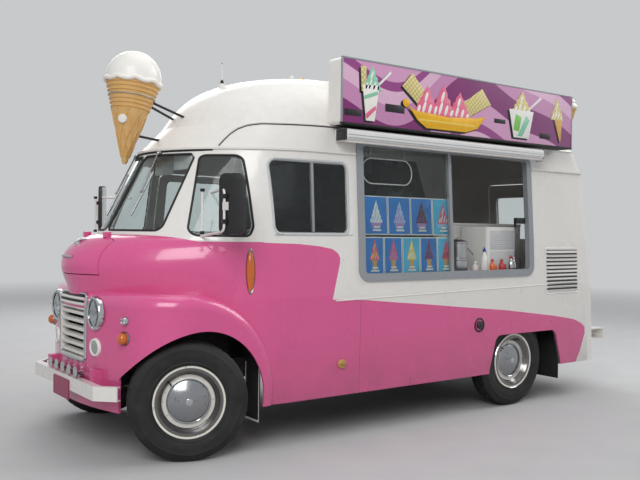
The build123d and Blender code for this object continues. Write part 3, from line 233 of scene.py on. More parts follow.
def curve_of(tree, value, low, high, scale, pairs):
    """A curve through listed points: result at each value, both in metres."""
    share = ranged(tree, value, low, high)
    node = add_node(tree, "ShaderNodeFloatCurve", {"Value": share})
    curve = node.mapping.curves[0]
    curve.points[0].location = ((pairs[0][0] - low) / (high - low), pairs[0][1] / scale + 0.5)
    curve.points[1].location = ((pairs[-1][0] - low) / (high - low), pairs[-1][1] / scale + 0.5)
    for at, result in pairs[1:-1]:
        curve.points.new((at - low) / (high - low), result / scale + 0.5)
    for point in curve.points:
        point.handle_type = "VECTOR"
    node.mapping.update()
    shifted = sum_of(tree, "SUBTRACT", node.outputs[0], 0.5)
    return times(tree, shifted, scale)


def new_surface(name, metallic=0.0, coat=0.0, coat_rough=0.05, ior=1.5, **sockets):
    """Material with its tree and shader, and constant values set on the shader."""
    material = bpy.data.materials.new(name)
    material.use_nodes = True
    tree = material.node_tree
    shader = tree.nodes["Principled BSDF"]
    shader.inputs["Metallic"].default_value = metallic
    shader.inputs["Coat Weight"].default_value = coat
    shader.inputs["Coat Roughness"].default_value = coat_rough
    shader.inputs["IOR"].default_value = ior
    for key, value in sockets.items():
        shader.inputs[key.replace("_", " ")].default_value = value
    return material, tree, shader


def weather(tree, shader, colour, rough, spread=0.05, fine=60.0, bump=0.03, dirt=None, dirt_share=0.0):
    """Colour with slow and fine variation, uneven gloss and a shallow bump."""
    axes = axes_of(tree)
    place, up = axes[0], axes[3]
    slow = noise(tree, place, 2.3, 4.0)
    grain = noise(tree, place, fine, 3.0)
    both = sum_of(tree, "ADD", slow, grain)
    tint = shaded(tree, colour, ranged(tree, both, 0.6, 1.4, 1.0 - spread, 1.0 + spread))
    if dirt is not None:
        low = ranged(tree, up, 0.75, 0.28)
        share = times(tree, times(tree, low, noise(tree, place, 7.0, 6.0)), dirt_share)
        tint = mixed(tree, share, tint, dirt)
    lay(tree, shader, "Base Color", tint)
    lay(tree, shader, "Roughness", ranged(tree, slow, 0.3, 0.7, rough * 0.8, rough * 1.25))
    bumped(tree, shader, bump, 0.002, grain)


def plain(name, colour, rough, metallic=0.0, coat=0.0, *wear, **looks):
    """One colour with wear."""
    material, tree, shader = new_surface(name, metallic, coat)
    weather(tree, shader, colour, rough, *wear, **looks)
    return material


def slotted_paint(name, white, dark):
    """White louvre with painted shade, a near-black band, under each of its slats."""
    material, tree, shader = new_surface(name, coat=0.4)
    axes = axes_of(tree)
    along, up = axes[1], axes[3]
    row = sum_of(tree, "DIVIDE", sum_of(tree, "SUBTRACT", up, LOUVRE_FIRST), LOUVRE_PITCH)
    # Painted shade: a near-black band in the upper part of each pitch, under the slat above it
    slat_shade = above(tree, sum_of(tree, "FRACT", row), LOUVRE_SHADE_START)
    top = LOUVRE_FIRST + LOUVRE_PITCH * LOUVRE_SLATS
    for low, high, value in ((LOUVRE_FIRST, top, up), (LOUVRE_BACK, LOUVRE_FRONT, along)):
        slat_shade = times(tree, times(tree, slat_shade, above(tree, value, low)), below(tree, value, high))
    weather(tree, shader, mixed(tree, slat_shade, white, dark), 0.35, 0.04, 60.0, 0.02)
    return material


def front_painted(name, base, front, limit, *wear):
    """One colour, and another on all that lies ahead of a limit."""
    material, tree, shader = new_surface(name)
    along = axes_of(tree)[1]
    weather(tree, shader, mixed(tree, above(tree, along, limit), base, front), *wear)
    return material


def outer_faces(tree, across, up):
    """1 on the outer faces of the sides, 0 on their inner faces."""
    line = curve_of(tree, up, SIDE_LINE[0][0], SIDE_LINE[-1][0], 2.0, SIDE_LINE)
    return above(tree, sum_of(tree, "ABSOLUTE", across), sum_of(tree, "SUBTRACT", line, 0.009))


def two_tone_mask(tree, along, across, up):
    """1 where the side carries the lower colour, 0 where it is white."""
    back_edge = curve_of(tree, up, 0.90, 1.40, 4.0, [(0.90, 0.905), (0.979, 0.886), (1.10, 0.854),
                                                     (1.225, 0.820), (1.262, 0.818), (1.295, 0.836),
                                                     (1.325, 0.885), (1.345, 1.00), (1.360, 1.171),
                                                     (1.367, 1.42), (1.40, 1.60)])
    fore = times(tree, above(tree, along, back_edge), below(tree, up, BELT - 0.008))
    top_edge = curve_of(tree, along, -2.20, 1.00, 4.0, [(-2.20, 0.40), (-2.008, 0.606), (-1.955, 0.646),
                                                        (-1.836, 0.689), (-1.551, 0.734), (-0.932, 0.812),
                                                        (-0.378, 0.865), (0.058, 0.909), (0.261, 0.927),
                                                        (0.579, 0.959), (0.886, 0.975), (1.00, 0.985)])
    tail_edge = curve_of(tree, up, 0.20, 0.70, 8.0, [(0.20, -1.84), (0.301, -1.890), (0.393, -1.944),
                                                     (0.552, -2.010), (0.606, -2.006), (0.70, -1.99)])
    low = times(tree, below(tree, up, top_edge), above(tree, along, tail_edge))
    either = sum_of(tree, "MAXIMUM", fore, low)
    shown = sum_of(tree, "MAXIMUM", outer_faces(tree, across, up), above(tree, along, CAB_INSIDE))
    return times(tree, either, shown)


def side_paint(name, white, pink):
    """Gloss paint of the sides in two colours, with a panel seam and road dirt."""
    material, tree, shader = new_surface(name, coat=0.6, coat_rough=0.08)
    along, across, up = axes_of(tree)[1:]
    colour = mixed(tree, two_tone_mask(tree, along, across, up), white, pink)
    inside = sum_of(tree, "SUBTRACT", 1.0, outer_faces(tree, across, up))
    colour = mixed(tree, times(tree, inside, below(tree, along, LINING_END)), colour, srgb(92, 96, 100))
    seam = sum_of(tree, "ABSOLUTE", sum_of(tree, "SUBTRACT", along, SEAM_X))
    seam = times(tree, below(tree, seam, 0.0018), below(tree, up, SEAM_TOP))
    colour = mixed(tree, times(tree, seam, 0.6), colour, (0.05, 0.02, 0.03, 1.0))
    weather(tree, shader, colour, 0.28, 0.035, 35.0, 0.02, srgb(92, 70, 66), 0.5)
    return material


def glass(name, tint, rough=0.02):
    """Clear safety glass that stays see-through."""
    material, tree, shader = new_surface(name, ior=1.28, Transmission_Weight=1.0)
    smear = noise(tree, axes_of(tree)[0], 5.0, 5.0)
    lay(tree, shader, "Roughness", ranged(tree, smear, 0.0, 1.0, rough * 0.2, rough))
    lay(tree, shader, "Base Color", shaded(tree, tint, ranged(tree, smear, 0.0, 1.0, 0.92, 1.0)))
    return material


def wheel_paint(name, centre, axle, colours):
    """Bands of chrome, white and cream by distance from the axle, and painted shade on the side towards the
    truck.
    """
    chrome, white, dark, cream = colours
    material, tree, shader = new_surface(name, coat=0.3)
    place = axes_of(tree)[0]
    arm = vector(tree, "SUBTRACT", place, centre)
    radius = vector(tree, "LENGTH", vector(tree, "CROSS_PRODUCT", arm, axle))
    band = above(tree, radius, 0.1372)
    trim = above(tree, radius, 0.1672)
    rim_edge = above(tree, radius, 0.2145)
    # Painted shade: the half of the wheel towards the truck is near black and not metallic
    inner_shade = below(tree, vector(tree, "DOT_PRODUCT", arm, axle), 0.0)
    colour = mixed(tree, band, chrome, white)
    colour = mixed(tree, trim, colour, dark)
    colour = mixed(tree, rim_edge, colour, cream)
    colour = mixed(tree, inner_shade, colour, (0.03, 0.03, 0.03, 1.0))
    wear = noise(tree, place, 30.0, 6.0)
    brown = times(tree, above(tree, wear, 0.63), 0.35)
    lay(tree, shader, "Base Color", mixed(tree, brown, colour, srgb(96, 74, 60)))
    painted = sum_of(tree, "MAXIMUM", sum_of(tree, "SUBTRACT", band, trim), rim_edge)
    painted = sum_of(tree, "MAXIMUM", painted, inner_shade)
    lay(tree, shader, "Metallic", sum_of(tree, "SUBTRACT", 1.0, painted))
    lay(tree, shader, "Roughness", ranged(tree, wear, 0.0, 1.0, 0.06, 0.34))
    bumped(tree, shader, 0.05, 0.002, wear)
    return material


def cone_wafer(name, tan, cream):
    """Wafer below the brim and smooth white ice above it."""
    material, tree, shader = new_surface(name, coat=0.25)
    place = axes_of(tree)[0]
    lean = (math.sin(CONE_LEAN), 0.0, math.cos(CONE_LEAN))
    height = vector(tree, "DOT_PRODUCT", vector(tree, "SUBTRACT", place, tuple(CONE_FOOT)), lean)
    stain = noise(tree, place, 9.0, 6.0)
    toasted = mixed(tree, times(tree, stain, 0.55), tan, srgb(168, 112, 50))
    colour = mixed(tree, above(tree, height, CONE_BRIM), toasted, cream)
    weather(tree, shader, colour, 0.42, 0.05, 90.0, 0.25)
    return material


def swirl_print(name):
    """Sign print: broad plum and orchid ribbons."""
    material, tree, shader = new_surface(name, coat=0.4)
    axes = axes_of(tree)
    along, up = axes[1], axes[3]
    slow = sum_of(tree, "SINE", times(tree, along, 2.6))
    quick = sum_of(tree, "SINE", times(tree, along, 5.3))
    wave = sum_of(tree, "ADD", times(tree, up, 1.45), times(tree, slow, 0.30))
    phase = sum_of(tree, "FRACT", sum_of(tree, "ADD", wave, times(tree, quick, 0.10)))
    ramp = add_node(tree, "ShaderNodeValToRGB", {0: phase})
    stops = ramp.color_ramp
    stops.interpolation = "CONSTANT"
    stops.elements[0].color = srgb(214, 158, 196)
    stops.elements[1].position = 0.26
    stops.elements[1].color = srgb(126, 34, 108)
    for at, colour in ((0.55, (200, 138, 182)), (0.74, (226, 182, 210)), (0.90, (150, 66, 134))):
        stops.elements.new(at).color = srgb(*colour)
    weather(tree, shader, ramp.outputs[0], 0.3, 0.04, 60.0, 0.01)
    return material


def wafer_grid(name, pale, dark):
    """Pale wafer with a darker pressed grid."""
    material, tree, shader = new_surface(name)
    axes = axes_of(tree)
    along, up = axes[1], axes[3]
    lines = []
    for way in (sum_of(tree, "ADD", along, up), sum_of(tree, "SUBTRACT", along, up)):
        lines.append(below(tree, sum_of(tree, "FRACT", times(tree, way, 26.0)), 0.16))
    grid = sum_of(tree, "MAXIMUM", lines[0], lines[1])
    weather(tree, shader, mixed(tree, grid, pale, dark), 0.45, 0.08, 90.0, 0.1)
    return material


def rubber(name, colour, scale=220.0):
    """Dusty moulded rubber."""
    material, tree, shader = new_surface(name)
    share = ranged(tree, noise(tree, axes_of(tree)[0], 11.0, 7.0), 0.45, 0.8, 0.0, 0.14)
    tint = mixed(tree, share, colour, srgb(98, 92, 86))
    weather(tree, shader, tint, 0.66, 0.1, scale, 0.12)
    return material


def brushed(name, colour, rough, stretch):
    """Metal with lines along one direction."""
    material, tree, shader = new_surface(name, metallic=1.0)
    place = axes_of(tree)[0]
    stretched = add_node(tree, "ShaderNodeMapping", {"Vector": place, "Scale": stretch}).outputs[0]
    lines = noise(tree, stretched, 80.0, 4.0)
    lay(tree, shader, "Base Color", shaded(tree, colour, ranged(tree, lines, 0.0, 1.0, 0.82, 1.12)))
    lay(tree, shader, "Roughness", ranged(tree, lines, 0.0, 1.0, rough * 0.7, rough * 1.4))
    bumped(tree, shader, 0.06, 0.001, lines)
    return material


FINISH = {}

# Plain finishes: key, name, colour, roughness, metallic, coat, spread of its shades, grain, bump
PLAIN = [
    ("clean_white", "awning_white", (226, 226, 224), 0.4, 0.0, 0.0, 0.04, 50.0),
    ("grey", "grey_paint", (152, 156, 160), 0.38, 0.3, 0.0, 0.06, 50.0),
    ("pale_grey", "pale_grey_paint", (196, 197, 198), 0.4),
    ("exhaust", "exhaust_steel", (104, 90, 78), 0.5, 0.8, 0.0, 0.25, 20.0, 0.2),
    ("iron", "engine_iron", (54, 54, 52), 0.65, 0.4, 0.0, 0.2, 70.0, 0.3),
    ("chrome", "bright_chrome", (196, 198, 200), 0.09, 1.0, 0.0, 0.04, 60.0, 0.01),
    ("dull_chrome", "dull_chrome", (150, 150, 150), 0.22, 1.0, 0.0, 0.1),
    ("brass", "aged_brass", (196, 160, 92), 0.28, 1.0, 0.0, 0.15, 40.0),
    ("amber", "amber_lens", (206, 98, 14), 0.16, 0.0, 0.8, 0.1, 160.0, 0.25),
    ("grey_lens", "grey_reflector", (150, 156, 150), 0.15, 0.0, 0.8, 0.1, 200.0, 0.3),
    ("red", "red_lens", (176, 22, 24), 0.16, 0.0, 0.8, 0.1, 160.0, 0.25),
    ("ink", "black_ink", (24, 20, 26), 0.4, 0.0, 0.0, 0.1),
    ("banana", "banana", (240, 182, 32), 0.35, 0.0, 0.0, 0.12, 24.0, 0.05),
    ("bare_tin", "bare_tin", (186, 188, 190), 0.18, 1.0, 0.0, 0.08),
    ("wafer", "wafer_rib", (216, 170, 100), 0.45, 0.0, 0.0, 0.12, 60.0, 0.2),
    ("cream", "ice_white", (243, 240, 233), 0.45, 0.0, 0.0, 0.03, 20.0, 0.06),
    ("laminate", "white_laminate", (226, 226, 222), 0.3, 0.0, 0.0, 0.03),
    ("dark_plastic", "black_plastic", (26, 26, 27), 0.4, 0.0, 0.0, 0.1, 180.0, 0.1),
    ("vinyl", "seat_vinyl", (34, 34, 37), 0.42, 0.0, 0.0, 0.12, 240.0, 0.35),
    ("leaf", "leaf_green", (128, 196, 92), 0.4, 0.0, 0.0, 0.12, 20.0),
    ("sky", "poster_blue", (30, 126, 212), 0.3, 0.0, 0.4, 0.25, 5.0),
    ("aqua", "poster_aqua", (80, 194, 236), 0.3, 0.0, 0.4, 0.2, 6.0),
    ("violet", "poster_violet", (120, 74, 150), 0.3, 0.0, 0.4, 0.2, 8.0),
    ("paper", "poster_edge", (238, 236, 232), 0.5, 0.0, 0.0, 0.03),
    ("strawberry", "strawberry", (228, 106, 140), 0.4, 0.0, 0.0, 0.12, 30.0, 0.1),
    ("chocolate", "chocolate", (96, 56, 34), 0.35, 0.0, 0.0, 0.15, 30.0, 0.1),
    ("pale_blue", "pale_blue", (176, 200, 236), 0.4, 0.0, 0.0, 0.1, 30.0),
    ("mint", "mint", (140, 204, 172), 0.4, 0.0, 0.0, 0.1, 30.0),
    ("lemon", "lemon", (242, 214, 106), 0.4, 0.0, 0.0, 0.1, 30.0),
    ("lilac", "lilac", (186, 148, 206), 0.4, 0.0, 0.0, 0.1, 30.0),
    ("cherry", "cherry_red", (190, 26, 34), 0.2, 0.0, 0.8, 0.1),
    ("orange", "syrup_orange", (222, 100, 30), 0.2, 0.0, 0.8, 0.1),
    ("blue_bottle", "bottle_blue", (30, 60, 150), 0.2, 0.0, 0.8, 0.1),
]


def make_finishes(settings):
    """All paints, metals, plastics and glass, by their plain names."""
    pink = tuple(settings.lower_paint) + (1.0,)
    white = tuple(settings.upper_paint) + (1.0,)
    mud = srgb(92, 72, 66)
    FINISH["two_tone"] = side_paint("two_tone_paint", white, pink)
    FINISH["pink"] = plain("pink_paint", pink, 0.25, coat=0.6, spread=0.04, fine=30.0, bump=0.02, dirt=mud,
                           dirt_share=0.35)
    FINISH["white"] = plain("white_paint", white, 0.3, coat=0.5, spread=0.035, fine=40.0, bump=0.02)
    # Near-black colour of the painted shade under the louvre's slats
    FINISH["louvre"] = slotted_paint("louvre_paint", white, srgb(30, 30, 32))
    FINISH["roof"] = plain("roof_paint", white, 0.42, coat=0.2, spread=0.06, fine=18.0, bump=0.05)
    # The caps' near-black base colour is painted shade of the rear filler's recess; the cap ahead of the
    # limit is brass
    for key, name, base, front, limit, share in (("chassis", "chassis_paint", srgb(24, 23, 22), pink, 2.31,
                                                  0.3), ("caps", "filler_cap_paint", srgb(44, 42, 42),
                                                         srgb(186, 152, 88), 0.0, 0.2),
                                                 ("fittings", "fittings_paint", white, srgb(40, 38, 38),
                                                  1.5, 0.1)):
        FINISH[key] = front_painted(name, base, front, limit, 0.5, 0.12, 25.0, 0.08, srgb(*ROAD_DIRT),
                                    share)
    FINISH["steel"] = brushed("brushed_steel", srgb(190, 192, 194), 0.3, (1.0, 1.0, 30.0))
    FINISH["glass"] = glass("window_glass", (0.84, 0.90, 0.89, 1.0))
    FINISH["lens"] = glass("lamp_glass", (0.95, 0.97, 0.98, 1.0), 0.06)
    FINISH["plates"] = front_painted("plate_faces", srgb(222, 220, 214), srgb(150, 40, 84), 0.0, 0.38, 0.06,
                                     120.0, 0.05)
    FINISH["wafer_print"] = wafer_grid("wafer_print", srgb(228, 214, 150), srgb(178, 156, 84))
    FINISH["rubber"] = rubber("black_rubber", srgb(24, 24, 25))
    FINISH["tyre"] = rubber("tyre_rubber", srgb(19, 19, 20), 130.0)
    FINISH["cone"] = cone_wafer("wafer_cone", srgb(230, 190, 124), srgb(240, 238, 232))
    FINISH["swirl"] = swirl_print("sign_print")
    FINISH["frame"] = plain("frame_black", srgb(22, 21, 20), 0.6, spread=0.2, fine=25.0, bump=0.15,
                            dirt=srgb(*ROAD_DIRT), dirt_share=0.35)
    for key, name, colour, *looks in PLAIN:
        FINISH[key] = plain(name, srgb(*colour), *looks)


# Which finish each CAD node wears
NODE_FINISH = {
    "chassis": ["chassis_frame"],
    # toe_board wears the near-black frame finish as painted shade of the footwell seen through the wheel arch
    "frame": ["toe_board", "axles_and_springs", "fuel_tank", "floor", "knuckle_left", "knuckle_right"],
    "exhaust": ["exhaust"],
    "two_tone": ["side_wall_left", "side_wall_right", "cab_shell", "driver_door"],
    "white": ["rear_wall", "rear_door", "grille", "bumpers", "mirrors", "gutters"],
    "fittings": ["roof_fittings"],
    "louvre": ["louvre_vent"],
    "roof": ["roof", "sign_box"],
    "tyre": ["tyre_front_left", "tyre_front_right", "tyre_rear_left", "tyre_rear_right"],
    "pink": ["nose_panel", "wing_left", "wing_right", "scuttle", "bonnet_lid"],
    "grey": ["hatch_frame"],
    "clean_white": ["awning_housing"],
    "glass": ["windscreen", "side_glazing", "door_glass", "rear_glass"],
    "chrome": ["headlamps", "horns"],
    "dull_chrome": ["wipers"],
    "lens": ["headlamp_lenses"],
    "amber": ["small_lamps"],
    "plates": ["number_plates"],
    "iron": ["engine"],
    "caps": ["filler_caps"],
    "rubber": ["mud_flaps"],
    "cone": ["cone"],
    "laminate": ["interior_units", "machine"],
    "vinyl": ["seat"],
    "dark_plastic": ["controls"],
}


# modelling


def deselect():
    if bpy.context.object and bpy.context.object.mode != "OBJECT":
        bpy.ops.object.mode_set(mode="OBJECT")
    bpy.ops.object.select_all(action="DESELECT")
    bpy.context.tool_settings.mesh_select_mode = (True, False, False)


def only(obj):
    deselect()
    obj.select_set(True)
    bpy.context.view_layer.objects.active = obj


def fix_place(obj):
    """Take an object's place, turn and size up into its mesh."""
    only(obj)
    bpy.ops.object.transform_apply(location=True, rotation=True, scale=True)


def settle(obj, name, finish, body="truck", angle=0.6):
    """Join and name a finished piece, fix its place, give it its finish and its body."""
    if isinstance(obj, list):
        obj = join(obj)
    fix_place(obj)
    obj.name = name
    obj.data.name = name
    obj.data.materials.clear()
    obj.data.materials.append(FINISH[finish])
    if angle:
        bpy.ops.object.shade_smooth_by_angle(angle=angle)
    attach(obj, body)
    return obj


def outward(obj):
    """Merge seams and turn every face outwards."""
    only(obj)
    bpy.ops.object.mode_set(mode="EDIT")
    bpy.ops.mesh.select_all(action="SELECT")
    bpy.ops.mesh.remove_doubles(threshold=0.00005)
    bpy.ops.mesh.normals_make_consistent(inside=False)
    bpy.ops.object.mode_set(mode="OBJECT")


def join(pieces):
    """One object out of several."""
    deselect()
    for piece in pieces:
        piece.select_set(True)
    bpy.context.view_layer.objects.active = pieces[0]
    if len(pieces) > 1:
        bpy.ops.object.join()
    return bpy.context.view_layer.objects.active


def apply_modifier(obj, kind, **settings):
    only(obj)
    modifier = obj.modifiers.new(kind.lower(), kind)
    for key, value in settings.items():
        setattr(modifier, key, value)
    bpy.ops.object.modifier_apply(modifier=modifier.name)


def brick(low, high, bevel=0.003, segments=2, turn=None):
    """Block with eased edges."""
    deselect()
    middle = [(a + b) / 2 for a, b in zip(low, high)]
    bpy.ops.mesh.primitive_cube_add(size=1.0, location=middle)
    obj = bpy.context.object
    obj.scale = [abs(b - a) for a, b in zip(low, high)]
    bpy.ops.object.transform_apply(location=False, rotation=False, scale=True)
    if turn:
        obj.rotation_euler = turn
    if bevel:
        apply_modifier(obj, "BEVEL", width=bevel, segments=segments)
    return obj


def lathe(profile, centre, axis, steps=32):
    """Solid turned about an axis: profile of (radius, height along the axis)."""
    deselect()
    bpy.ops.mesh.primitive_plane_add(size=0.01, location=(0, 0, 0))
    obj = bpy.context.object
    bpy.ops.object.mode_set(mode="EDIT")
    bpy.ops.mesh.select_all(action="SELECT")
    bpy.ops.mesh.merge(type="CENTER")
    bpy.ops.mesh.select_all(action="SELECT")
    bpy.ops.transform.translate(value=(profile[0][0], 0.0, profile[0][1]))
    for before, after in zip(profile, profile[1:]):
        step = (after[0] - before[0], 0.0, after[1] - before[1])
        bpy.ops.mesh.extrude_region_move(TRANSFORM_OT_translate={"value": step})
    bpy.ops.mesh.select_all(action="SELECT")
    bpy.ops.mesh.spin(steps=steps, angle=math.tau, center=(0, 0, 0), axis=(0, 0, 1))
    bpy.ops.mesh.select_all(action="SELECT")
    bpy.ops.mesh.remove_doubles(threshold=0.00005)
    bpy.ops.mesh.normals_make_consistent(inside=False)
    bpy.ops.object.mode_set(mode="OBJECT")
    turn = Vector((0, 0, 1)).rotation_difference(Vector(axis))
    obj.matrix_world = Matrix.Translation(centre) @ turn.to_matrix().to_4x4()
    fix_place(obj)
    return obj


def drawn(kind, places, closed=False, flat=False):
    """Curve data and its one line through some places."""
    data = bpy.data.curves.new("line", "CURVE")
    data.dimensions = "2D" if flat else "3D"
    line = data.splines.new(kind)
    line.points.add(len(places) - 1)
    for point, place in zip(line.points, places):
        point.co = tuple(place) + (1.0,)
    line.use_cyclic_u = closed
    return data, line


def to_mesh(data):
    """Mesh object out of curve data."""
    obj = bpy.data.objects.new("line", data)
    bpy.context.scene.collection.objects.link(obj)
    only(obj)
    bpy.ops.object.convert(target="MESH")
    return bpy.context.object


def wire(points, radius, closed=False, round_turns=3, smooth=False):
    """Round bar along points."""
    deselect()
    data, line = drawn("NURBS" if smooth else "POLY", points, closed)
    if smooth:
        line.order_u = 3
        line.use_endpoint_u = not closed
        line.resolution_u = 8
    data.bevel_depth = radius
    data.bevel_resolution = round_turns
    data.use_fill_caps = True
    obj = to_mesh(data)
    outward(obj)
    return obj


def flat_shape(outline, depth, matrix, bevel=0.0008):
    """Flat plate cut to an outline, laid by a matrix; its face looks along the matrix's Z."""
    deselect()
    data = drawn("POLY", [(place[0], place[1], 0.0) for place in outline], True, True)[0]
    data.fill_mode = "BOTH"
    data.extrude = depth / 2
    data.bevel_depth = bevel
    data.bevel_resolution = 1
    obj = to_mesh(data)
    fix_place(moved(obj, matrix))
    outward(obj)
    return obj


def on_left(x, y, z):
    """Matrix for a plate on the left side: its X runs backwards, its Y up, its face outwards."""
    return Matrix(((-1, 0, 0, x), (0, 0, 1, y), (0, 1, 0, z), (0, 0, 0, 1)))


def dropped(points, axis, sign, target):
    """Places of (u, v) points moved along an axis onto one CAD node."""
    deselect()
    column = "XYZ".index(axis)
    places = []
    for pair in points:
        place = list(pair)
        place.insert(column, FAR * sign)
        places.append(place)
    obj = to_mesh(drawn("POLY", places)[0])
    modifier = obj.modifiers.new("drop", "SHRINKWRAP")
    modifier.target = NODES[target]
    modifier.wrap_method = "PROJECT"
    modifier.use_project_x = axis == "X"
    modifier.use_project_y = axis == "Y"
    modifier.use_project_z = axis == "Z"
    modifier.use_negative_direction = sign > 0
    modifier.use_positive_direction = sign < 0
    bpy.ops.object.modifier_apply(modifier=modifier.name)
    places = [vertex.co.copy() for vertex in obj.data.vertices]
    bpy.data.objects.remove(obj)
    return places


def lying_on(points, axis, sign, targets, offset):
    """Places of (u, v) points on the outermost of some CAD nodes, points off them left out."""
    column = "XYZ".index(axis)
    kept = []
    for places in zip(*[dropped(points, axis, sign, target) for target in targets.split()]):
        hits = [place for place in places if abs(place[column]) < FAR - 0.1]
        if hits:
            outermost = max(hits, key=lambda place: place[column] * sign)
            outermost[column] += sign * offset
            kept.append(outermost)
    return kept


def spot_on(axis, sign, u, v, targets):
    """One place on a surface and the way that the surface faces there."""
    near = 0.006
    corners = lying_on([(u - near, v - near), (u + near, v - near), (u, v + near)], axis, sign, targets,
                       0.0)
    if len(corners) < 3:
        raise RuntimeError("nothing under the point on " + targets)
    facing = (corners[1] - corners[0]).cross(corners[2] - corners[0]).normalized()
    if facing["XYZ".index(axis)] * sign < 0:
        facing.negate()
    return (corners[0] + corners[1] + corners[2]) / 3, facing


def dense(outline, step=0.03, closed=True):
    """More points along the long runs of an outline."""
    out = []
    ends = outline[1:] + outline[:1] if closed else outline[1:]
    for here, there in zip(outline, ends):
        count = max(1, int(math.dist(here, there) / step))
        for index in range(count):
            share = index / count
            out.append((here[0] + (there[0] - here[0]) * share, here[1] + (there[1] - here[1]) * share))
    return out if closed else out + [outline[-1]]


def seal(outline, axis, sign, target, radius, offset=0.0):
    """Rubber or metal strip round a window, lying on a panel."""
    return wire(lying_on(dense(outline), axis, sign, target, offset), radius, closed=True)


def mirrored(obj):
    """Copy of a piece on the other side of the centreline."""
    only(obj)
    bpy.ops.object.duplicate()
    copy = bpy.context.object
    copy.scale = (1, -1, 1)
    fix_place(copy)
    outward(copy)
    return copy


def both_sides(obj, name, finish):
    """A piece of the left side and its copy on the right, both finished."""
    left = settle(obj, name + "_left", finish)
    return [left, settle(mirrored(left), name + "_right", finish)]


def circle(radius, height, steps):
    """Points of a level circle about the Z axis."""
    turns = [math.tau * step / steps for step in range(steps)]
    return [(radius * math.cos(turn), radius * math.sin(turn), height) for turn in turns]


def moved(obj, matrix):
    obj.matrix_world = matrix
    bpy.context.view_layer.update()
    return obj


def copy_of(obj, matrix):
    """Copy of a piece with its own mesh, moved by a matrix."""
    only(obj)
    bpy.ops.object.duplicate()
    copy = bpy.context.object
    fix_place(moved(copy, matrix @ copy.matrix_world))
    return copy


# pieces


WINDSCREEN = [rounded([(s * 0.014, 1.442), (s * 0.490, 1.442), (s * 0.462, 1.955), (s * 0.014, 1.955)],
                      0.04) for s in (1, -1)]
CAB_PANE = rounded([(1.522, 1.412), (1.867, 1.412), (1.702, 1.945), (1.492, 1.945), (1.492, 1.472)], 0.045)
SLIDER = rounded(rectangle(0.742, 1.347, 1.430, 1.925), 0.055)
DOOR_PANE = rounded(rectangle(0.717, 1.312, 1.430, 1.850), 0.045)
REAR_PANE = rounded(rectangle(-0.230, 0.230, 1.390, 1.810), 0.045)


def grown(outline, amount):
    """Outline moved outwards by an amount, from its middle."""
    middle = [sum(point[k] for point in outline) / len(outline) for k in (0, 1)]
    size = [max(abs(point[k] - middle[k]) for point in outline) for k in (0, 1)]
    return [tuple(middle[k] + (point[k] - middle[k]) * (size[k] + amount) / size[k] for k in (0, 1))
            for point in outline]


def paint_nodes():
    """Every CAD node gets its finish; wheels get bands about their own axles."""
    for finish, nodes in NODE_FINISH.items():
        for name in nodes:
            data = NODES[name].data
            data.materials.clear()
            data.materials.append(FINISH[finish])
    colours = (srgb(158, 160, 163), srgb(226, 223, 216), srgb(120, 118, 116), srgb(230, 226, 214))
    for body, centre, axle in WHEELS:
        data = NODES[body].data
        data.materials.clear()
        data.materials.append(wheel_paint(body + "_paint", centre, axle, colours))


def window_seals(radius):
    """Rubber strips round the cab's and doors' panes, and the frames beside them."""
    for index, outline in enumerate(WINDSCREEN):
        piece = seal(grown(outline, 0.004), "X", 1, "cab_shell", radius, -0.002)
        settle(piece, f"windscreen_seal_{index + 1}", "rubber")
    for side, label in ((1, "left"), (-1, "right")):
        piece = seal(grown(CAB_PANE, 0.004), "Y", side, "cab_shell", radius - 0.001, -0.002)
        settle(piece, f"cab_window_seal_{label}", "rubber")
    piece = seal(grown(SLIDER, 0.006), "Y", 1, "side_wall_left", radius + 0.0015, -0.003)
    settle(piece, "slider_seal", "pale_grey")
    track = [brick((0.75, 0.874, 1.425), (1.34, 0.893, 1.440)), brick((0.75, 0.846, 1.914),
                                                                      (1.34, 0.868, 1.928)),
             brick((1.030, 0.858, 1.440), (1.050, 0.884, 1.916), turn=(0.066, 0, 0))]
    settle(track, "slider_track", "grey")
    piece = seal(grown(DOOR_PANE, 0.004), "Y", -1, "driver_door", radius, -0.002)
    settle(piece, "door_window_seal", "rubber", "driver_door")
    piece = seal(grown(REAR_PANE, 0.004), "X", -1, "rear_door", radius, -0.002)
    settle(piece, "rear_window_seal", "rubber", "rear_door")
    drip = [(front_x(y, 1.984) + 0.004, y, 1.984) for y in [k / 20.0 for k in range(-11, 12)]]
    settle(wire(drip, 0.007), "windscreen_drip_line", "rubber")


# Headlamp: distance from the centreline and height of its middle, half height of its ribs
HEADLAMP_Y, HEADLAMP_Z, RIB_REACH, RIB_STEP = 0.345, 0.905, 0.082, 0.0105


def headlamp_pieces():
    """Chrome rims and fluted ribs of the headlamps."""
    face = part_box("headlamp_lenses")[1][0]
    rim = lathe([(0.086, -0.012), (0.0905, 0.004), (0.098, 0.011), (0.106, 0.008), (0.111, -0.004),
                 (0.112, -0.022), (0.104, -0.024), (0.099, -0.014), (0.086, -0.012)],
                (face - 0.012, HEADLAMP_Y, HEADLAMP_Z), (1, 0, 0), 48)
    both_sides(rim, "headlamp_rim", "chrome")
    ribs = []
    for k in range(-7, 8):
        y = HEADLAMP_Y + k * RIB_STEP
        reach = math.sqrt(max(0.0, RIB_REACH**2 - (k * RIB_STEP) ** 2))
        x = face - 0.004 - 0.010 * (k / 7.0) ** 2
        line = [(x - 0.006, y, HEADLAMP_Z - reach), (x + 0.0005, y, HEADLAMP_Z),
                (x - 0.006, y, HEADLAMP_Z + reach)]
        ribs.append(wire(line, 0.0009, round_turns=1, smooth=True))
    both_sides(join(ribs), "headlamp_flutes", "lens")


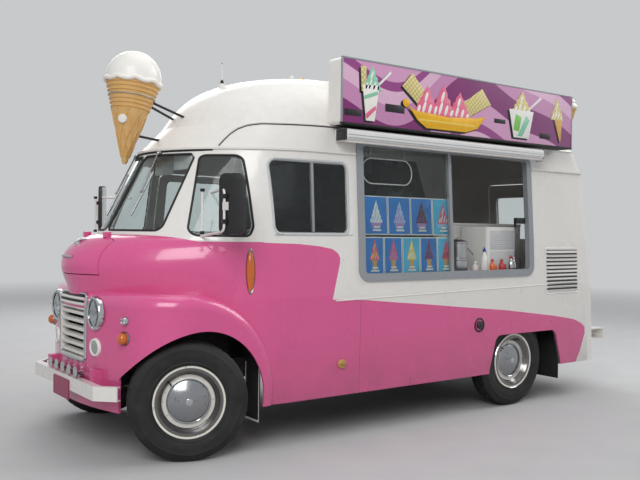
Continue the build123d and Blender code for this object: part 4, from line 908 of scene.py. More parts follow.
# Lamps of the nose: name, distance from the centreline, height, finish and profile of the glass, of the ring
NOSE_LAMPS = [("reflector", 0.354, 0.690, "grey_lens", [(0.0, 0.013), (0.030, 0.012), (0.043, 0.008),
                                                        (0.043, -0.01), (0.0, -0.01)], "paper",
               [(0.042, 0.004), (0.046, 0.014), (0.055, 0.013), (0.060, 0.002), (0.060, -0.02),
                (0.042, -0.02), (0.042, 0.004)]), ("park_lamp", 0.650, 0.882, "lens",
                                                   [(0.0, 0.040), (0.010, 0.038), (0.017, 0.030),
                                                    (0.019, 0.018), (0.0, 0.016)], "chrome",
                                                   [(0.019, 0.016), (0.021, 0.026), (0.025, 0.016),
                                                    (0.028, 0.004), (0.030, -0.02), (0.0, -0.02),
                                                    (0.0, 0.012), (0.019, 0.016)]),
              ("indicator", 0.640, 0.773, "amber", [(0.0, 0.052), (0.014, 0.050), (0.026, 0.043),
                                                    (0.034, 0.030), (0.037, 0.010), (0.037, 0.0),
                                                    (0.0, 0.0)], "dull_chrome",
               [(0.036, 0.006), (0.041, 0.012), (0.045, 0.004), (0.046, -0.02), (0.036, -0.02),
                (0.036, 0.006)])]
MARKER = (1.522, 1.182)
TAIL_LAMPS = [(0.700, 0.045), (0.810, 0.045)]


def small_lamp_pieces():
    """Reflectors, parking lamps, indicators, oval side markers and round tail lamps."""
    made = []
    for name, y, z, glass_finish, glass_line, ring_finish, ring_line in NOSE_LAMPS:
        place, facing = spot_on("X", 1, y, z, NOSE)
        for part, finish, line in (("glass", glass_finish, glass_line), ("ring", ring_finish, ring_line)):
            made += both_sides(lathe(line, place, facing, 40), f"{name}_{part}", finish)
    seed = lathe([(0.0, 0.018), (0.40, 0.0165), (0.70, 0.012), (0.92, 0.005), (0.99, 0.0), (0.99, -0.012),
                  (0.0, -0.012)], (0, 0, 0), (0, 1, 0), 40)
    base = lathe([(0.98, 0.003), (1.06, 0.005), (1.12, 0.0), (1.12, -0.012), (0.98, -0.012), (0.98, 0.003)],
                 (0, 0, 0), (0, 1, 0), 40)
    place, facing = spot_on("Y", 1, *MARKER, "cab_shell")
    turn = Vector((0, 1, 0)).rotation_difference(facing).to_matrix().to_4x4()
    spread = Matrix.Translation(place) @ turn @ Matrix.Diagonal((0.029, 1.0, 0.136, 1.0))
    for shape, part, finish in ((seed, "lens", "amber"), (base, "base", "dull_chrome")):
        made += both_sides(copy_of(shape, spread), f"side_marker_{part}", finish)
        bpy.data.objects.remove(shape)
    for z, radius in TAIL_LAMPS:
        place = (tail_x(z), 0.690, z)
        dome = lathe([(0.0, 0.030), (radius * 0.45, 0.028), (radius * 0.80, 0.021), (radius * 0.90, 0.012),
                      (radius * 0.90, 0.0), (0.0, 0.0)], place, (-1, 0, 0), 36)
        rim = lathe([(radius * 0.88, 0.010), (radius * 0.95, 0.017), (radius * 1.02, 0.012),
                     (radius, -0.004), (radius * 0.88, -0.004), (radius * 0.88, 0.010)], place, (-1, 0, 0),
                    36)
        for piece, part, finish in ((dome, "lens", "red"), (rim, "rim", "chrome")):
            made += both_sides(piece, f"tail_lamp_{part}_{round(z * 1000)}", finish)
    for piece in made:
        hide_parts("small_lamps")


HANDLE_HEIGHT = 1.262
MASCOT_HEIGHT = 1.345


def nose_trim():
    """Upper rows and surround of the grille, bonnet handle, mascot and the horns' air line."""
    # The thin black bars between the white slats are painted shade of the openings behind them
    for name, radius, rows, finish in (("slats", 0.0105, (0.953, 0.987), "white"),
                                       ("gap_shade", 0.0080, (0.970, 1.002), "rubber")):
        bars = [wire(lying_on([(y / 20, z) for y in range(-4, 5)], "X", 1, "nose_panel", 0.007), radius,
                     round_turns=2) for z in rows]
        settle(bars, "grille_upper_" + name, finish)
    outline = rounded(rectangle(-0.232, 0.232, 0.583, 1.016), 0.045)
    surround = seal(outline, "X", 1, "nose_panel", 0.011, 0.002)
    settle(surround, "grille_surround", "chrome")
    handle = []
    plate = []
    for y in (-0.075, 0.0, 0.075):
        place, facing = spot_on("X", 1, y, HANDLE_HEIGHT, "bonnet_lid")
        plate.append(place + facing * (0.016 if y == 0.0 else 0.002))
    start = plate[0] + (plate[0] - plate[1]) * 0.15
    end = plate[2] + (plate[2] - plate[1]) * 0.15
    handle.append(wire([start, plate[0] + Vector((0.010, 0, 0)), plate[1], plate[2] + Vector((0.010, 0, 0)),
                        end], 0.0085, smooth=True))
    crest, facing = spot_on("X", 1, 0.0, MASCOT_HEIGHT, "bonnet_lid")
    handle.append(lathe([(0.0, 0.020), (0.010, 0.018), (0.014, 0.006), (0.022, 0.0), (0.022, -0.006),
                         (0.0, -0.006)], crest, facing, 24))
    body = [crest + Vector((0.002, 0, 0.010)), crest + Vector((-0.020, 0, 0.030)),
            crest + Vector((-0.060, 0, 0.034))]
    handle.append(wire(body, 0.006, smooth=True))
    for side in (1, -1):
        wing = [crest + Vector((-0.004, 0, 0.020)), crest + Vector((-0.028, side * 0.030, 0.036)),
                crest + Vector((-0.066, side * 0.052, 0.034))]
        handle.append(wire(wing, 0.0042, smooth=True))
    settle(handle, "bonnet_handle_and_mascot", "chrome", "bonnet_lid")
    pipe = wire([(2.43, -0.29, 0.508), (2.43, 0.29, 0.508)], 0.004)
    settle(pipe, "horn_air_line", "dull_chrome")


WAIST_LINE = 1.4225
FRAME_FOOT, FRAME_TOP = 0.930, 1.321
# Filler caps: X and height, name and finish of the grip
FILLERS = [(-0.607, 0.709, "rear", "iron"), (0.799, 0.521, "front", "brass")]


def side_trim():
    """Mouldings, louvre frame, filler ring and grips, door handle and waist lines."""
    for side, label in ((1, "left"), (-1, "right")):
        rise = [(x, 0.976 + (0.262 - x) * 0.0198) for x in [0.86 - k * 0.07 for k in range(40)]]
        line = [(x, side * (side_y(z) + 0.0008), z) for x, z in rise]
        piece = wire(line, 0.0042, round_turns=2)
        settle(piece, f"side_moulding_{label}", "white")
        if side > 0:
            sweep = [(0.792, 1.262), (0.776, 1.225), (0.785, 1.160), (0.805, 1.090), (0.828, 1.020),
                     (0.842, 0.985)]
            line = [(x, side_y(z) + 0.0005, z) for x, z in sweep]
            settle(wire(line, 0.004, smooth=True), "sweep_moulding_left", "white")
    frame_line = rounded(rectangle(-1.885, -1.435, FRAME_FOOT, FRAME_TOP), 0.012)
    line = [(x, side_y(z) + 0.0012, z) for x, z in dense(frame_line, 0.05)]
    settle(wire(line, 0.004, closed=True), "louvre_frame", "white")
    ring = lathe([(0.040, -0.004), (0.046, 0.004), (0.056, 0.005), (0.060, -0.001), (0.060, -0.006),
                  (0.040, -0.006)], (FILLERS[0][0], side_y(FILLERS[0][1]), FILLERS[0][1]), (0, 1, 0), 36)
    settle(ring, "filler_ring", "dark_plastic")
    cap_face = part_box("filler_caps")[1][1]
    for x, z, name, finish in FILLERS:
        lug = brick((x - 0.020, cap_face - 0.004, z - 0.005), (x + 0.020, cap_face + 0.007, z + 0.005),
                    0.002)
        settle(lug, "filler_cap_grip_" + name, finish)
    handle = [brick((0.700, -0.968, 1.206), (0.800, -0.952, 1.222), 0.006),
              brick((0.706, -0.955, 1.204), (0.722, -0.905, 1.224), 0.004),
              lathe([(0.0, 0.006), (0.010, 0.005), (0.012, 0.0), (0.0, 0.0)], (0.795, -0.955, 1.214),
                    (0, -1, 0), 20)]
    settle(handle, "driver_door_handle", "chrome", "driver_door")
    for side, label, body in ((1, "left", "truck"), (-1, "right", "driver_door")):
        line = [(x, side * (side_y(WAIST_LINE) + 0.001), WAIST_LINE) for x in (0.70, 0.98, 1.36)]
        settle(wire(line, 0.0025, round_turns=1), "waist_line_" + label, "grey", body)


def rivet_rows(radius):
    """Domed rivets round the hatch frame and on the louvre."""
    seed = lathe([(0.0, 0.0032), (radius * 0.5, 0.0028), (radius * 0.92, 0.0008), (radius, -0.001)],
                 (0, 0, 0), (0, 1, 0), 10)
    studs = []
    back, front, low, high = HATCH
    for k in range(15):
        x = back + 0.03 + k * (front - back - 0.06) / 14
        for z in (low - 0.014, high + 0.014):
            studs.append((x, side_y(z) + 0.0122, z))
    for k in range(1, 8):
        z = low + k * (high - low) / 8
        for x in (back - 0.014, front + 0.014):
            studs.append((x, side_y(z) + 0.0122, z))
    pieces = [copy_of(seed, Matrix.Translation(place)) for place in studs]
    settle(pieces, "hatch_rivets", "grey")
    studs = [(x, side_y(z) + 0.0006, z) for z in (FRAME_FOOT + 0.005, FRAME_TOP - 0.005)
             for x in (-1.86, -1.66, -1.46)]
    pieces = [copy_of(seed, Matrix.Translation(place)) for place in studs]
    settle(pieces, "louvre_rivets", "white")
    bpy.data.objects.remove(seed)


def cut_card(made, finish, outline, matrix, layer):
    """Add one thin cut shape of a picture to the pieces of its finish."""
    lift = Matrix.Translation((0, 0, layer * 0.0007))
    made.setdefault(finish, []).append(flat_shape(outline, 0.0006, matrix @ lift, 0.0001))


def oval(across, up, wide, tall, tilt=0.0, steps=20):
    """Closed oval outline."""
    points = []
    for step in range(steps):
        angle = math.tau * step / steps
        u, v = wide * math.cos(angle), tall * math.sin(angle)
        points.append((across + u * math.cos(tilt) - v * math.sin(tilt),
                       up + u * math.sin(tilt) + v * math.cos(tilt)))
    return points


def soft_ice(made, matrix, across, up, wide, tall, colours, layer):
    """Swirl of soft ice: a lobed bell with a bent tip and steep streaks of a second colour."""
    line = [(-0.50, 0.0), (-0.47, 0.14), (-0.36, 0.22), (-0.37, 0.34), (-0.27, 0.42), (-0.26, 0.54),
            (-0.17, 0.62), (-0.14, 0.76), (-0.05, 0.86), (0.03, 1.0), (0.07, 0.88), (0.16, 0.72),
            (0.17, 0.60), (0.28, 0.52), (0.28, 0.38), (0.38, 0.32), (0.38, 0.18), (0.48, 0.12), (0.50, 0.0)]
    shape = [(across + u * wide, up + v * tall) for u, v in line]
    cut_card(made, colours[0], shape, matrix, layer)
    for side, height, long in ((-0.30, 0.16, 0.15), (-0.10, 0.24, 0.22), (0.12, 0.20, 0.18),
                               (-0.02, 0.60, 0.18), (0.33, 0.13, 0.11)):
        stripe = oval(across + side * wide, up + height * tall, 0.050 * wide, long * tall, -0.35, 14)
        cut_card(made, colours[1], stripe, matrix, layer + 1)


# Cards on the pane, front to back: ground, ice in two colours, holder
TOP_CARDS = [("sky", "cream", "pale_blue", "tub"), ("sky", "pale_blue", "lilac", "tub"),
             ("sky", "chocolate", "violet", "tub"), ("aqua", "strawberry", "cream", "dish")]
LOW_CARDS = [("sky", "strawberry", "lemon", "cone"), ("sky", "strawberry", "lilac", "cone"),
             ("aqua", "lemon", "cream", "cone"), ("sky", "violet", "chocolate", "cone"),
             ("aqua", "strawberry", "cherry", "cone")]
CARD_FRONT, CARD_BACK = 0.575, -0.335
CARD_ROWS = [(TOP_CARDS, 1.423, 1.712), (LOW_CARDS, 1.128, 1.413)]


def hatch_posters():
    """Picture cards of plain ices on the hatch's front pane and the bare glass tube of its lamp."""
    made = {}
    for cards, low, high in CARD_ROWS:
        wide = (CARD_FRONT - CARD_BACK) / len(cards)
        tall = high - low
        middle = (low + high) / 2
        lean = math.atan2(side_y(low) - side_y(high), tall)
        for place, (ground, first, second, holder) in enumerate(cards):
            x = CARD_FRONT - (place + 0.5) * wide
            matrix = on_left(x, side_y(middle) - 0.0245, middle) @ Matrix.Rotation(-lean, 4, "X")
            half, top = wide / 2 - 0.002, tall / 2 - 0.002
            cut_card(made, "paper", rectangle(-half, half, -top, top), matrix, 0)
            cut_card(made, ground, rectangle(-half + 0.008, half - 0.008, -top + 0.008, top - 0.008),
                     matrix, 1)
            foot = -tall * 0.18 if holder != "cone" else -tall * 0.10
            reach = 0.115 if holder != "cone" else 0.092
            if holder == "cone":
                cut_card(made, "wafer", [(-0.030, foot + 0.02), (-0.010, -top + 0.030),
                                         (0.010, -top + 0.030), (0.030, foot + 0.02)], matrix, 2)
            elif holder == "tub":
                cut_card(made, "lilac", [(-0.052, foot + 0.02), (-0.040, -top + 0.052),
                                         (0.040, -top + 0.052), (0.052, foot + 0.02)], matrix, 2)
            else:
                cut_card(made, "pale_blue", oval(0, foot - 0.005, 0.070, 0.030), matrix, 2)
            soft_ice(made, matrix, 0.0, foot, reach, tall * 0.56, (first, second), 3)
            for row in (0, 1):
                low_edge = -top + 0.028 + 0.022 * row
                cut_card(made, "paper", rectangle(-0.040 + 0.012 * row, 0.040 - 0.012 * row, low_edge,
                                                  low_edge + 0.014), matrix, 9)
    for finish, pieces in made.items():
        settle(pieces, "cards_" + finish, finish)
    loop = rounded(rectangle(0.075, 0.560, 1.800, 1.985), 0.085)
    tube = wire([(x, side_y(z) - 0.045, z) for x, z in loop], 0.0045, closed=True, round_turns=2)
    stays = [tube]
    for x in (0.150, 0.480):
        stays.append(wire([(x, side_y(1.985) - 0.045, 1.985), (x, side_y(1.985) - 0.040, 2.075)], 0.0022,
                          round_turns=1))
    settle(stays, "lamp_tube_loop", "cream")


# Bottles on the counter: X, Y, radius, height, body, cap
BOTTLES = [
    (-0.780, 0.800, 0.027, 0.235, "paper", "blue_bottle"), (-0.735, 0.745, 0.030, 0.120, "laminate", "cream"),
    (-0.868, 0.812, 0.026, 0.140, "orange", "cherry"), (-0.925, 0.780, 0.026, 0.135, "orange", "cherry"),
    (-0.982, 0.815, 0.026, 0.140, "cherry", "cherry"), (-1.040, 0.782, 0.026, 0.145, "cherry", "cream"),
    (-1.100, 0.815, 0.028, 0.165, "bare_tin", "cherry"),
    (-1.155, 0.800, 0.026, 0.150, "bare_tin", "bare_tin"),
]
COUNTER_TOP = 1.0955


def turned_stack(rows, x, y):
    """Several turned shapes joined on one upright axis."""
    return join([lathe(profile, (x, y, COUNTER_TOP), (0, 0, 1), 32) for profile in rows])


def hatch_goods():
    """Steel canister, bottles, mat, splash board, socket and catch in the open half of the hatch."""
    for index, (x, y, radius, height, skin, cap) in enumerate(BOTTLES):
        bottle = [(0.0, 0.0), (radius * 0.9, 0.0), (radius, 0.006), (radius, height * 0.52),
                  (radius * 0.94, height * 0.62), (radius * 0.60, height * 0.74),
                  (radius * 0.38, height * 0.80), (radius * 0.38, height * 0.86), (0.0, height * 0.86)]
        settle(turned_stack([bottle], x, y), f"bottle_{index + 1}", skin)
        top = [(0.0, height * 0.845), (radius * 0.50, height * 0.845), (radius * 0.50, height * 0.93),
               (radius * 0.22, height * 0.95), (radius * 0.16, height), (0.0, height)]
        settle(turned_stack([top], x, y), f"bottle_cap_{index + 1}", cap)
    drum = [(0.0, 0.0), (0.078, 0.0), (0.083, 0.008), (0.083, 0.128), (0.088, 0.134), (0.088, 0.142),
            (0.080, 0.146), (0.0, 0.146)]
    lid = [(0.0, 0.147), (0.070, 0.147), (0.074, 0.154), (0.074, 0.262), (0.080, 0.268), (0.080, 0.276),
           (0.071, 0.286), (0.030, 0.298), (0.012, 0.300), (0.012, 0.314), (0.0, 0.316)]
    settle(turned_stack([drum, lid], -0.530, 0.742), "steel_canister", "steel")
    grip = wire([(-0.610, 0.742, 1.330), (-0.665, 0.730, 1.322), (-0.735, 0.716, 1.270)], 0.007,
                smooth=True)
    settle(grip, "canister_handle", "bare_tin")
    mat = brick((-0.840, 0.690, COUNTER_TOP), (-0.440, 0.835, COUNTER_TOP + 0.005), 0.002)
    settle(mat, "counter_mat", "cherry")
    ledge = brick((-1.225, 0.872, 1.098), (-0.300, 0.9035, 1.1195), 0.004)
    settle(ledge, "hatch_ledge", "grey")
    board = [brick((-1.640, 0.452, COUNTER_TOP), (-0.560, 0.464, 1.525), 0.003),
             brick((-1.640, 0.446, 1.510), (-0.560, 0.470, 1.532), 0.004)]
    settle(board, "splash_board", "laminate")
    socket = [brick((-1.420, 0.464, 1.365), (-1.300, 0.484, 1.445), 0.005),
              brick((-1.395, 0.482, 1.385), (-1.365, 0.489, 1.425), 0.002),
              brick((-1.355, 0.482, 1.385), (-1.325, 0.489, 1.425), 0.002)]
    settle(socket, "wall_socket", "paper")
    catch = [brick((-1.206, 0.846, 1.530), (-1.085, 0.876, 1.580), 0.006),
             brick((-1.100, 0.850, 1.495), (-1.085, 0.868, 1.545), 0.004)]
    settle(catch, "hatch_catch", "dark_plastic")
    front = 0.8005
    seams = [brick((-1.150, front - 0.003, 1.130), (-0.850, front + 0.0035, 1.300), 0.003),
             brick((-1.150, front - 0.003, 1.312), (-0.850, front + 0.0035, 1.470), 0.003)]
    for row in range(6):
        seams.append(brick((-1.120, front, 1.335 + row * 0.018),
                           (-0.880, front + 0.0055, 1.343 + row * 0.018), 0.0015, 1))
    settle(seams, "machine_panels", "pale_grey")


def faces_where(obj, test):
    """Select the faces whose middle passes a test, ready for edit mode."""
    only(obj)
    bpy.context.tool_settings.mesh_select_mode = (False, False, True)
    bpy.ops.object.mode_set(mode="EDIT")
    bpy.ops.mesh.select_all(action="DESELECT")
    bpy.ops.object.mode_set(mode="OBJECT")
    for face in obj.data.polygons:
        face.select = bool(test(face.center))
    bpy.ops.object.mode_set(mode="EDIT")


TYRE_SIDE = [(0.2035, 0.062), (0.221, 0.072), (0.238, 0.0795), (0.246, 0.0835), (0.252, 0.0815),
             (0.275, 0.0885), (0.300, 0.0898), (0.322, 0.0880), (0.327, 0.0892), (0.333, 0.0845),
             (0.350, 0.0775), (0.3625, 0.0705), (0.3715, 0.0625)]
TYRE_TREAD = [(0.3745, 0.056), (0.3749, 0.0425), (0.3670, 0.0410), (0.3670, 0.0350), (0.3750, 0.0335),
              (0.3750, 0.0195), (0.3670, 0.0180), (0.3670, 0.0120), (0.3750, 0.0105)]


def tyre_pieces():
    """Cross-ply tyres with ribbed tread, shoulder cuts and ringed walls, one for each wheel."""
    half = TYRE_SIDE + TYRE_TREAD
    profile = half + [(radius, -height) for radius, height in reversed(half)]
    profile.append(profile[0])
    steps = 168
    seed = lathe(profile, (0, 0, 0), (0, 0, 1), steps)

    def place_of(middle):
        turn = int(((math.atan2(middle.y, middle.x) / math.tau) % 1.0) * steps)
        return math.hypot(middle.x, middle.y), turn

    def cut(middle):
        radius, turn = place_of(middle)
        wide = 0.042 < abs(middle.z) < 0.066
        return radius > 0.365 and wide and turn % 4 == (0 if middle.z > 0 else 2)

    def sipe(middle):
        radius, turn = place_of(middle)
        return radius > 0.3735 and abs(middle.z) < 0.034 and turn % 6 == (1 if middle.z > 0.015 else 4)

    for test, deep in ((cut, -0.0065), (sipe, -0.0045)):
        faces_where(seed, test)
        bpy.ops.mesh.extrude_region_shrink_fatten(TRANSFORM_OT_shrink_fatten={"value": deep})
        bpy.ops.object.mode_set(mode="OBJECT")
    for body, centre, axle in WHEELS:
        turn = Vector((0, 0, 1)).rotation_difference(Vector(axle)).to_matrix().to_4x4()
        piece = copy_of(seed, Matrix.Translation(centre) @ turn)
        node = body.replace("wheel", "tyre")
        settle(piece, node + "_rubber", "tyre", body, angle=0.5)
        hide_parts(node)
    bpy.data.objects.remove(seed)


# Beads of a wheel round its cap, its boss and its rim: profile and steps
WHEEL_BEADS = [
    ([(0.134, 0.036), (0.1385, 0.040), (0.1395, 0.046), (0.136, 0.049), (0.132, 0.046)], 48),
    ([(0.0, 0.081), (0.016, 0.0805), (0.022, 0.078), (0.022, 0.0755)], 24),
    ([(0.2225, 0.0795), (0.2285, 0.0845), (0.2320, 0.0800), (0.2300, 0.0760)], 64),
]


def wheel_pieces():
    """Beads round the cap, the boss and the rim, and the valve of each wheel."""
    for body, centre, axle in WHEELS:
        axis = Vector(axle)
        up = Vector((0, 0, 1))
        across = axis.cross(up)
        middle = Vector(centre)
        beads = [lathe(line, middle, axis, steps) for line, steps in WHEEL_BEADS]
        settle(beads, body + "_beads", "chrome", body)
        spoke = up * math.cos(0.8) + across * math.sin(0.8)
        start = middle + spoke * 0.158 + axis * 0.030
        valve = wire([start, start + axis * 0.030 + spoke * 0.004, start + axis * 0.044 - spoke * 0.004],
                     0.0045)
        settle(valve, body + "_valve", "dark_plastic", body)


def cone_radius(height):
    return 0.014 + CONE_SLOPE * height


def cone_pieces():
    """Raised wafer ribs, drips of ice, a bare badge and a clamp band."""
    place = Matrix.Translation(CONE_FOOT) @ Matrix.Rotation(CONE_LEAN, 4, "Y")
    ribs = [wire(circle(cone_radius(height), height, 32), 0.004, closed=True, round_turns=1)
            for height in (0.020, 0.060)]
    for hand in (1, -1):
        for start in range(9):
            line = []
            for k in range(19):
                share = k / 18
                height = 0.045 + share * 0.335
                angle = math.tau * start / 9 + hand * share * 1.15
                reach = cone_radius(height) + 0.0005
                line.append((reach * math.cos(angle), reach * math.sin(angle), height))
            ribs.append(wire(line, 0.0052, round_turns=1))
    for height in [0.388 + k * 0.0275 for k in range(7)]:
        ribs.append(wire(circle(cone_radius(height), height, 40), 0.0068, closed=True, round_turns=2))
    settle(moved(join(ribs), place), "cone_ribs", "wafer")
    random.seed(11)
    skirt = []
    for k in range(36):
        angle = math.tau * k / 36
        reach = 0.186 + 0.004 * random.random()
        drop = 0.590 - 0.020 * abs(math.sin(angle * 4.5 + 0.6)) - 0.006 * random.random()
        skirt.append((reach * math.cos(angle), reach * math.sin(angle), drop))
    drips = wire(skirt, 0.017, closed=True, smooth=True)
    settle(moved(drips, place), "cone_drips", "cream")
    way = place.to_3x3() @ Vector((math.cos(0.75), math.sin(0.75), -0.28)).normalized()
    spot = place @ Vector((cone_radius(0.300) * math.cos(0.75), cone_radius(0.300) * math.sin(0.75), 0.300))
    badge = lathe([(0.0, 0.016), (0.026, 0.015), (0.031, 0.010), (0.031, -0.004), (0.0, -0.004)], spot, way,
                  28)
    settle(badge, "cone_badge", "cream")
    band = wire(circle(cone_radius(0.470) + 0.007, 0.470, 40), 0.004, closed=True, round_turns=1)
    settle(moved(band, place), "cone_clamp_band", "steel")


def sign_pieces():
    """Printed face, edging, sill, a near-black sheet of painted shade underneath and pictures of the roof
    sign.
    """
    back, front, low, high = SIGN
    outline = rounded(rectangle(back + 0.004, front - 0.004, low + 0.006, high - 0.006), 0.004, 2)
    face = flat_shape([(-x, z) for x, z in outline], 0.003, on_left(0, SIGN_FACE + 0.0012, 0), 0.0006)
    settle(face, "sign_print_panel", "swirl")
    angles = [brick((back - 0.001, SIGN_FACE - 0.012, high - 0.012),
                    (front + 0.001, SIGN_FACE + 0.006, high + 0.001), 0.002),
              brick((back - 0.002, SIGN_FACE - 0.012, low), (back + 0.006, SIGN_FACE + 0.006, high), 0.002),
              brick((front - 0.006, SIGN_FACE - 0.012, low), (front + 0.002, SIGN_FACE + 0.006, high),
                    0.002)]
    settle(angles, "sign_edge_angles", "grey")
    sill = brick((back - 0.002, SIGN_FACE - 0.020, low - 0.002),
                 (front + 0.002, SIGN_FACE + 0.007, low + 0.014), 0.003)
    settle(sill, "sign_black_sill", "rubber")
    # Near-black sheet below the sign: painted shade of its underside
    underside_shade = brick((back + 0.03, 0.862, low - 0.004), (front - 0.03, 0.990, low + 0.001), 0.002)
    settle(underside_shade, "sign_underside_shade", "frame")
    draw_desserts()


def on_sign(x, z):
    """Matrix for pictures on the sign's face about a point."""
    return on_left(x, SIGN_FACE + 0.0032, z)


def with_shadow(made, finish, outline, matrix, layer):
    """Cut shape with a black copy below it, moved ahead and down as in the print."""
    cut_card(made, "ink", [(u - 0.020, v - 0.014) for u, v in outline], matrix, 0)
    cut_card(made, finish, outline, matrix, layer)


def draw_desserts():
    """Cut pictures of plain desserts and bare price blocks on the sign's face."""
    made = {}
    sundae = on_sign(0.635, 2.224)
    with_shadow(made, "wafer_print", [(-0.085, 0.20), (-0.045, 0.20), (-0.045, 0.375), (-0.095, 0.375)],
                sundae, 1)
    with_shadow(made, "paper", [(0.035, 0.24), (0.050, 0.23), (0.190, 0.355), (0.178, 0.368)], sundae, 1)
    soft_ice(made, sundae, 0.010, 0.215, 0.170, 0.175, ("mint", "cream"), 2)
    with_shadow(made, "cream", [(-0.045, 0.0), (0.035, 0.0), (0.075, 0.255), (-0.078, 0.245)], sundae, 3)
    cut_card(made, "mint", [(-0.066, 0.17), (0.060, 0.215), (0.064, 0.190), (-0.062, 0.145)], sundae, 5)
    cut_card(made, "strawberry", [(-0.050, 0.045), (0.040, 0.110), (0.046, 0.085), (-0.040, 0.010)], sundae,
             5)
    bowl = on_sign(-0.120, 2.220)
    for corners in ([(-0.461, 0.283), (-0.365, 0.389), (-0.205, 0.240), (-0.260, 0.135)],
                    [(0.384, 0.358), (0.486, 0.243), (0.230, 0.120), (0.180, 0.230)]):
        with_shadow(made, "wafer_print", corners, bowl, 1)
    for across, tall in ((-0.215, 0.215), (0.130, 0.205), (-0.045, 0.245)):
        soft_ice(made, bowl, across, 0.100, 0.270, tall, ("strawberry", "cream"),
                 3 if across == -0.045 else 2)
    hull = [(-0.405, 0.150), (-0.330, 0.118), (0.0, 0.100), (0.300, 0.118), (0.420, 0.140), (0.330, 0.040),
            (0.200, 0.002), (-0.220, 0.0), (-0.310, 0.050)]
    with_shadow(made, "banana", hull, bowl, 8)
    cut_card(made, "lemon", [(-0.300, 0.062), (0.310, 0.062), (0.290, 0.050), (-0.290, 0.050)], bowl, 9)
    with_shadow(made, "banana", oval(-0.425, 0.165, 0.032, 0.030), bowl, 9)
    tub = on_sign(-0.972, 2.230)
    with_shadow(made, "paper", [(0.060, 0.225), (0.078, 0.215), (0.262, 0.345), (0.248, 0.360)], tub, 1)
    soft_ice(made, tub, 0.010, 0.200, 0.260, 0.185, ("wafer_print", "cream"), 2)
    with_shadow(made, "paper", [(-0.095, 0.0), (0.095, 0.0), (0.152, 0.225), (-0.152, 0.225)], tub, 8)
    cut_card(made, "mint", [(-0.050, 0.012), (0.010, 0.012), (0.100, 0.150), (0.060, 0.190)], tub, 9)
    cut_card(made, "leaf", [(-0.100, 0.060), (-0.030, 0.050), (0.000, 0.170), (-0.070, 0.190)], tub, 9)
    cone = on_sign(-1.440, 2.237)
    with_shadow(made, "wafer", [(0.040, 0.0), (0.052, 0.004), (0.070, 0.190), (-0.040, 0.200)], cone, 1)
    soft_ice(made, cone, 0.000, 0.180, 0.170, 0.195, ("wafer_print", "cream"), 2)
    for x, z, wide, tall in ((0.797, 2.268, 0.150, 0.046), (0.410, 2.332, 0.184, 0.056),
                             (-0.714, 2.344, 0.134, 0.034), (-1.282, 2.268, 0.140, 0.044)):
        cut_card(made, "ink", rectangle(-wide / 2, wide / 2, -tall / 2, tall / 2), on_sign(x, z), 1)
    for finish, pieces in made.items():
        settle(pieces, "sign_pictures_" + finish, finish)


def small_cone():
    """Small model cone on a bracket at the sign's rear end."""
    back, high = SIGN[0], SIGN[3]
    x = back - 0.075
    y = 0.925
    z = high - 0.245
    bracket = [brick((x - 0.020, y - 0.020, z - 0.006), (back + 0.004, y + 0.020, z + 0.006), 0.003),
               brick((back - 0.006, y - 0.035, z - 0.050), (back + 0.002, y + 0.035, z + 0.050), 0.002)]
    settle(bracket, "small_cone_bracket", "white")
    shell = lathe([(0.0, 0.0), (0.010, 0.0), (0.052, 0.135), (0.058, 0.137), (0.058, 0.152), (0.0, 0.152)],
                  (x, y, z + 0.006), (0, 0, 1), 32)
    settle(shell, "small_cone_wafer", "wafer")
    ice = lathe([(0.058, 0.150), (0.064, 0.162), (0.058, 0.182), (0.046, 0.194), (0.050, 0.204),
                 (0.040, 0.220), (0.020, 0.236), (0.0, 0.242)], (x, y, z + 0.006), (0, 0, 1), 32)
    settle(ice, "small_cone_ice", "cream")


ROOF_LIP = 2.186
AERIAL_X, AERIAL_Y = 1.314, 0.100


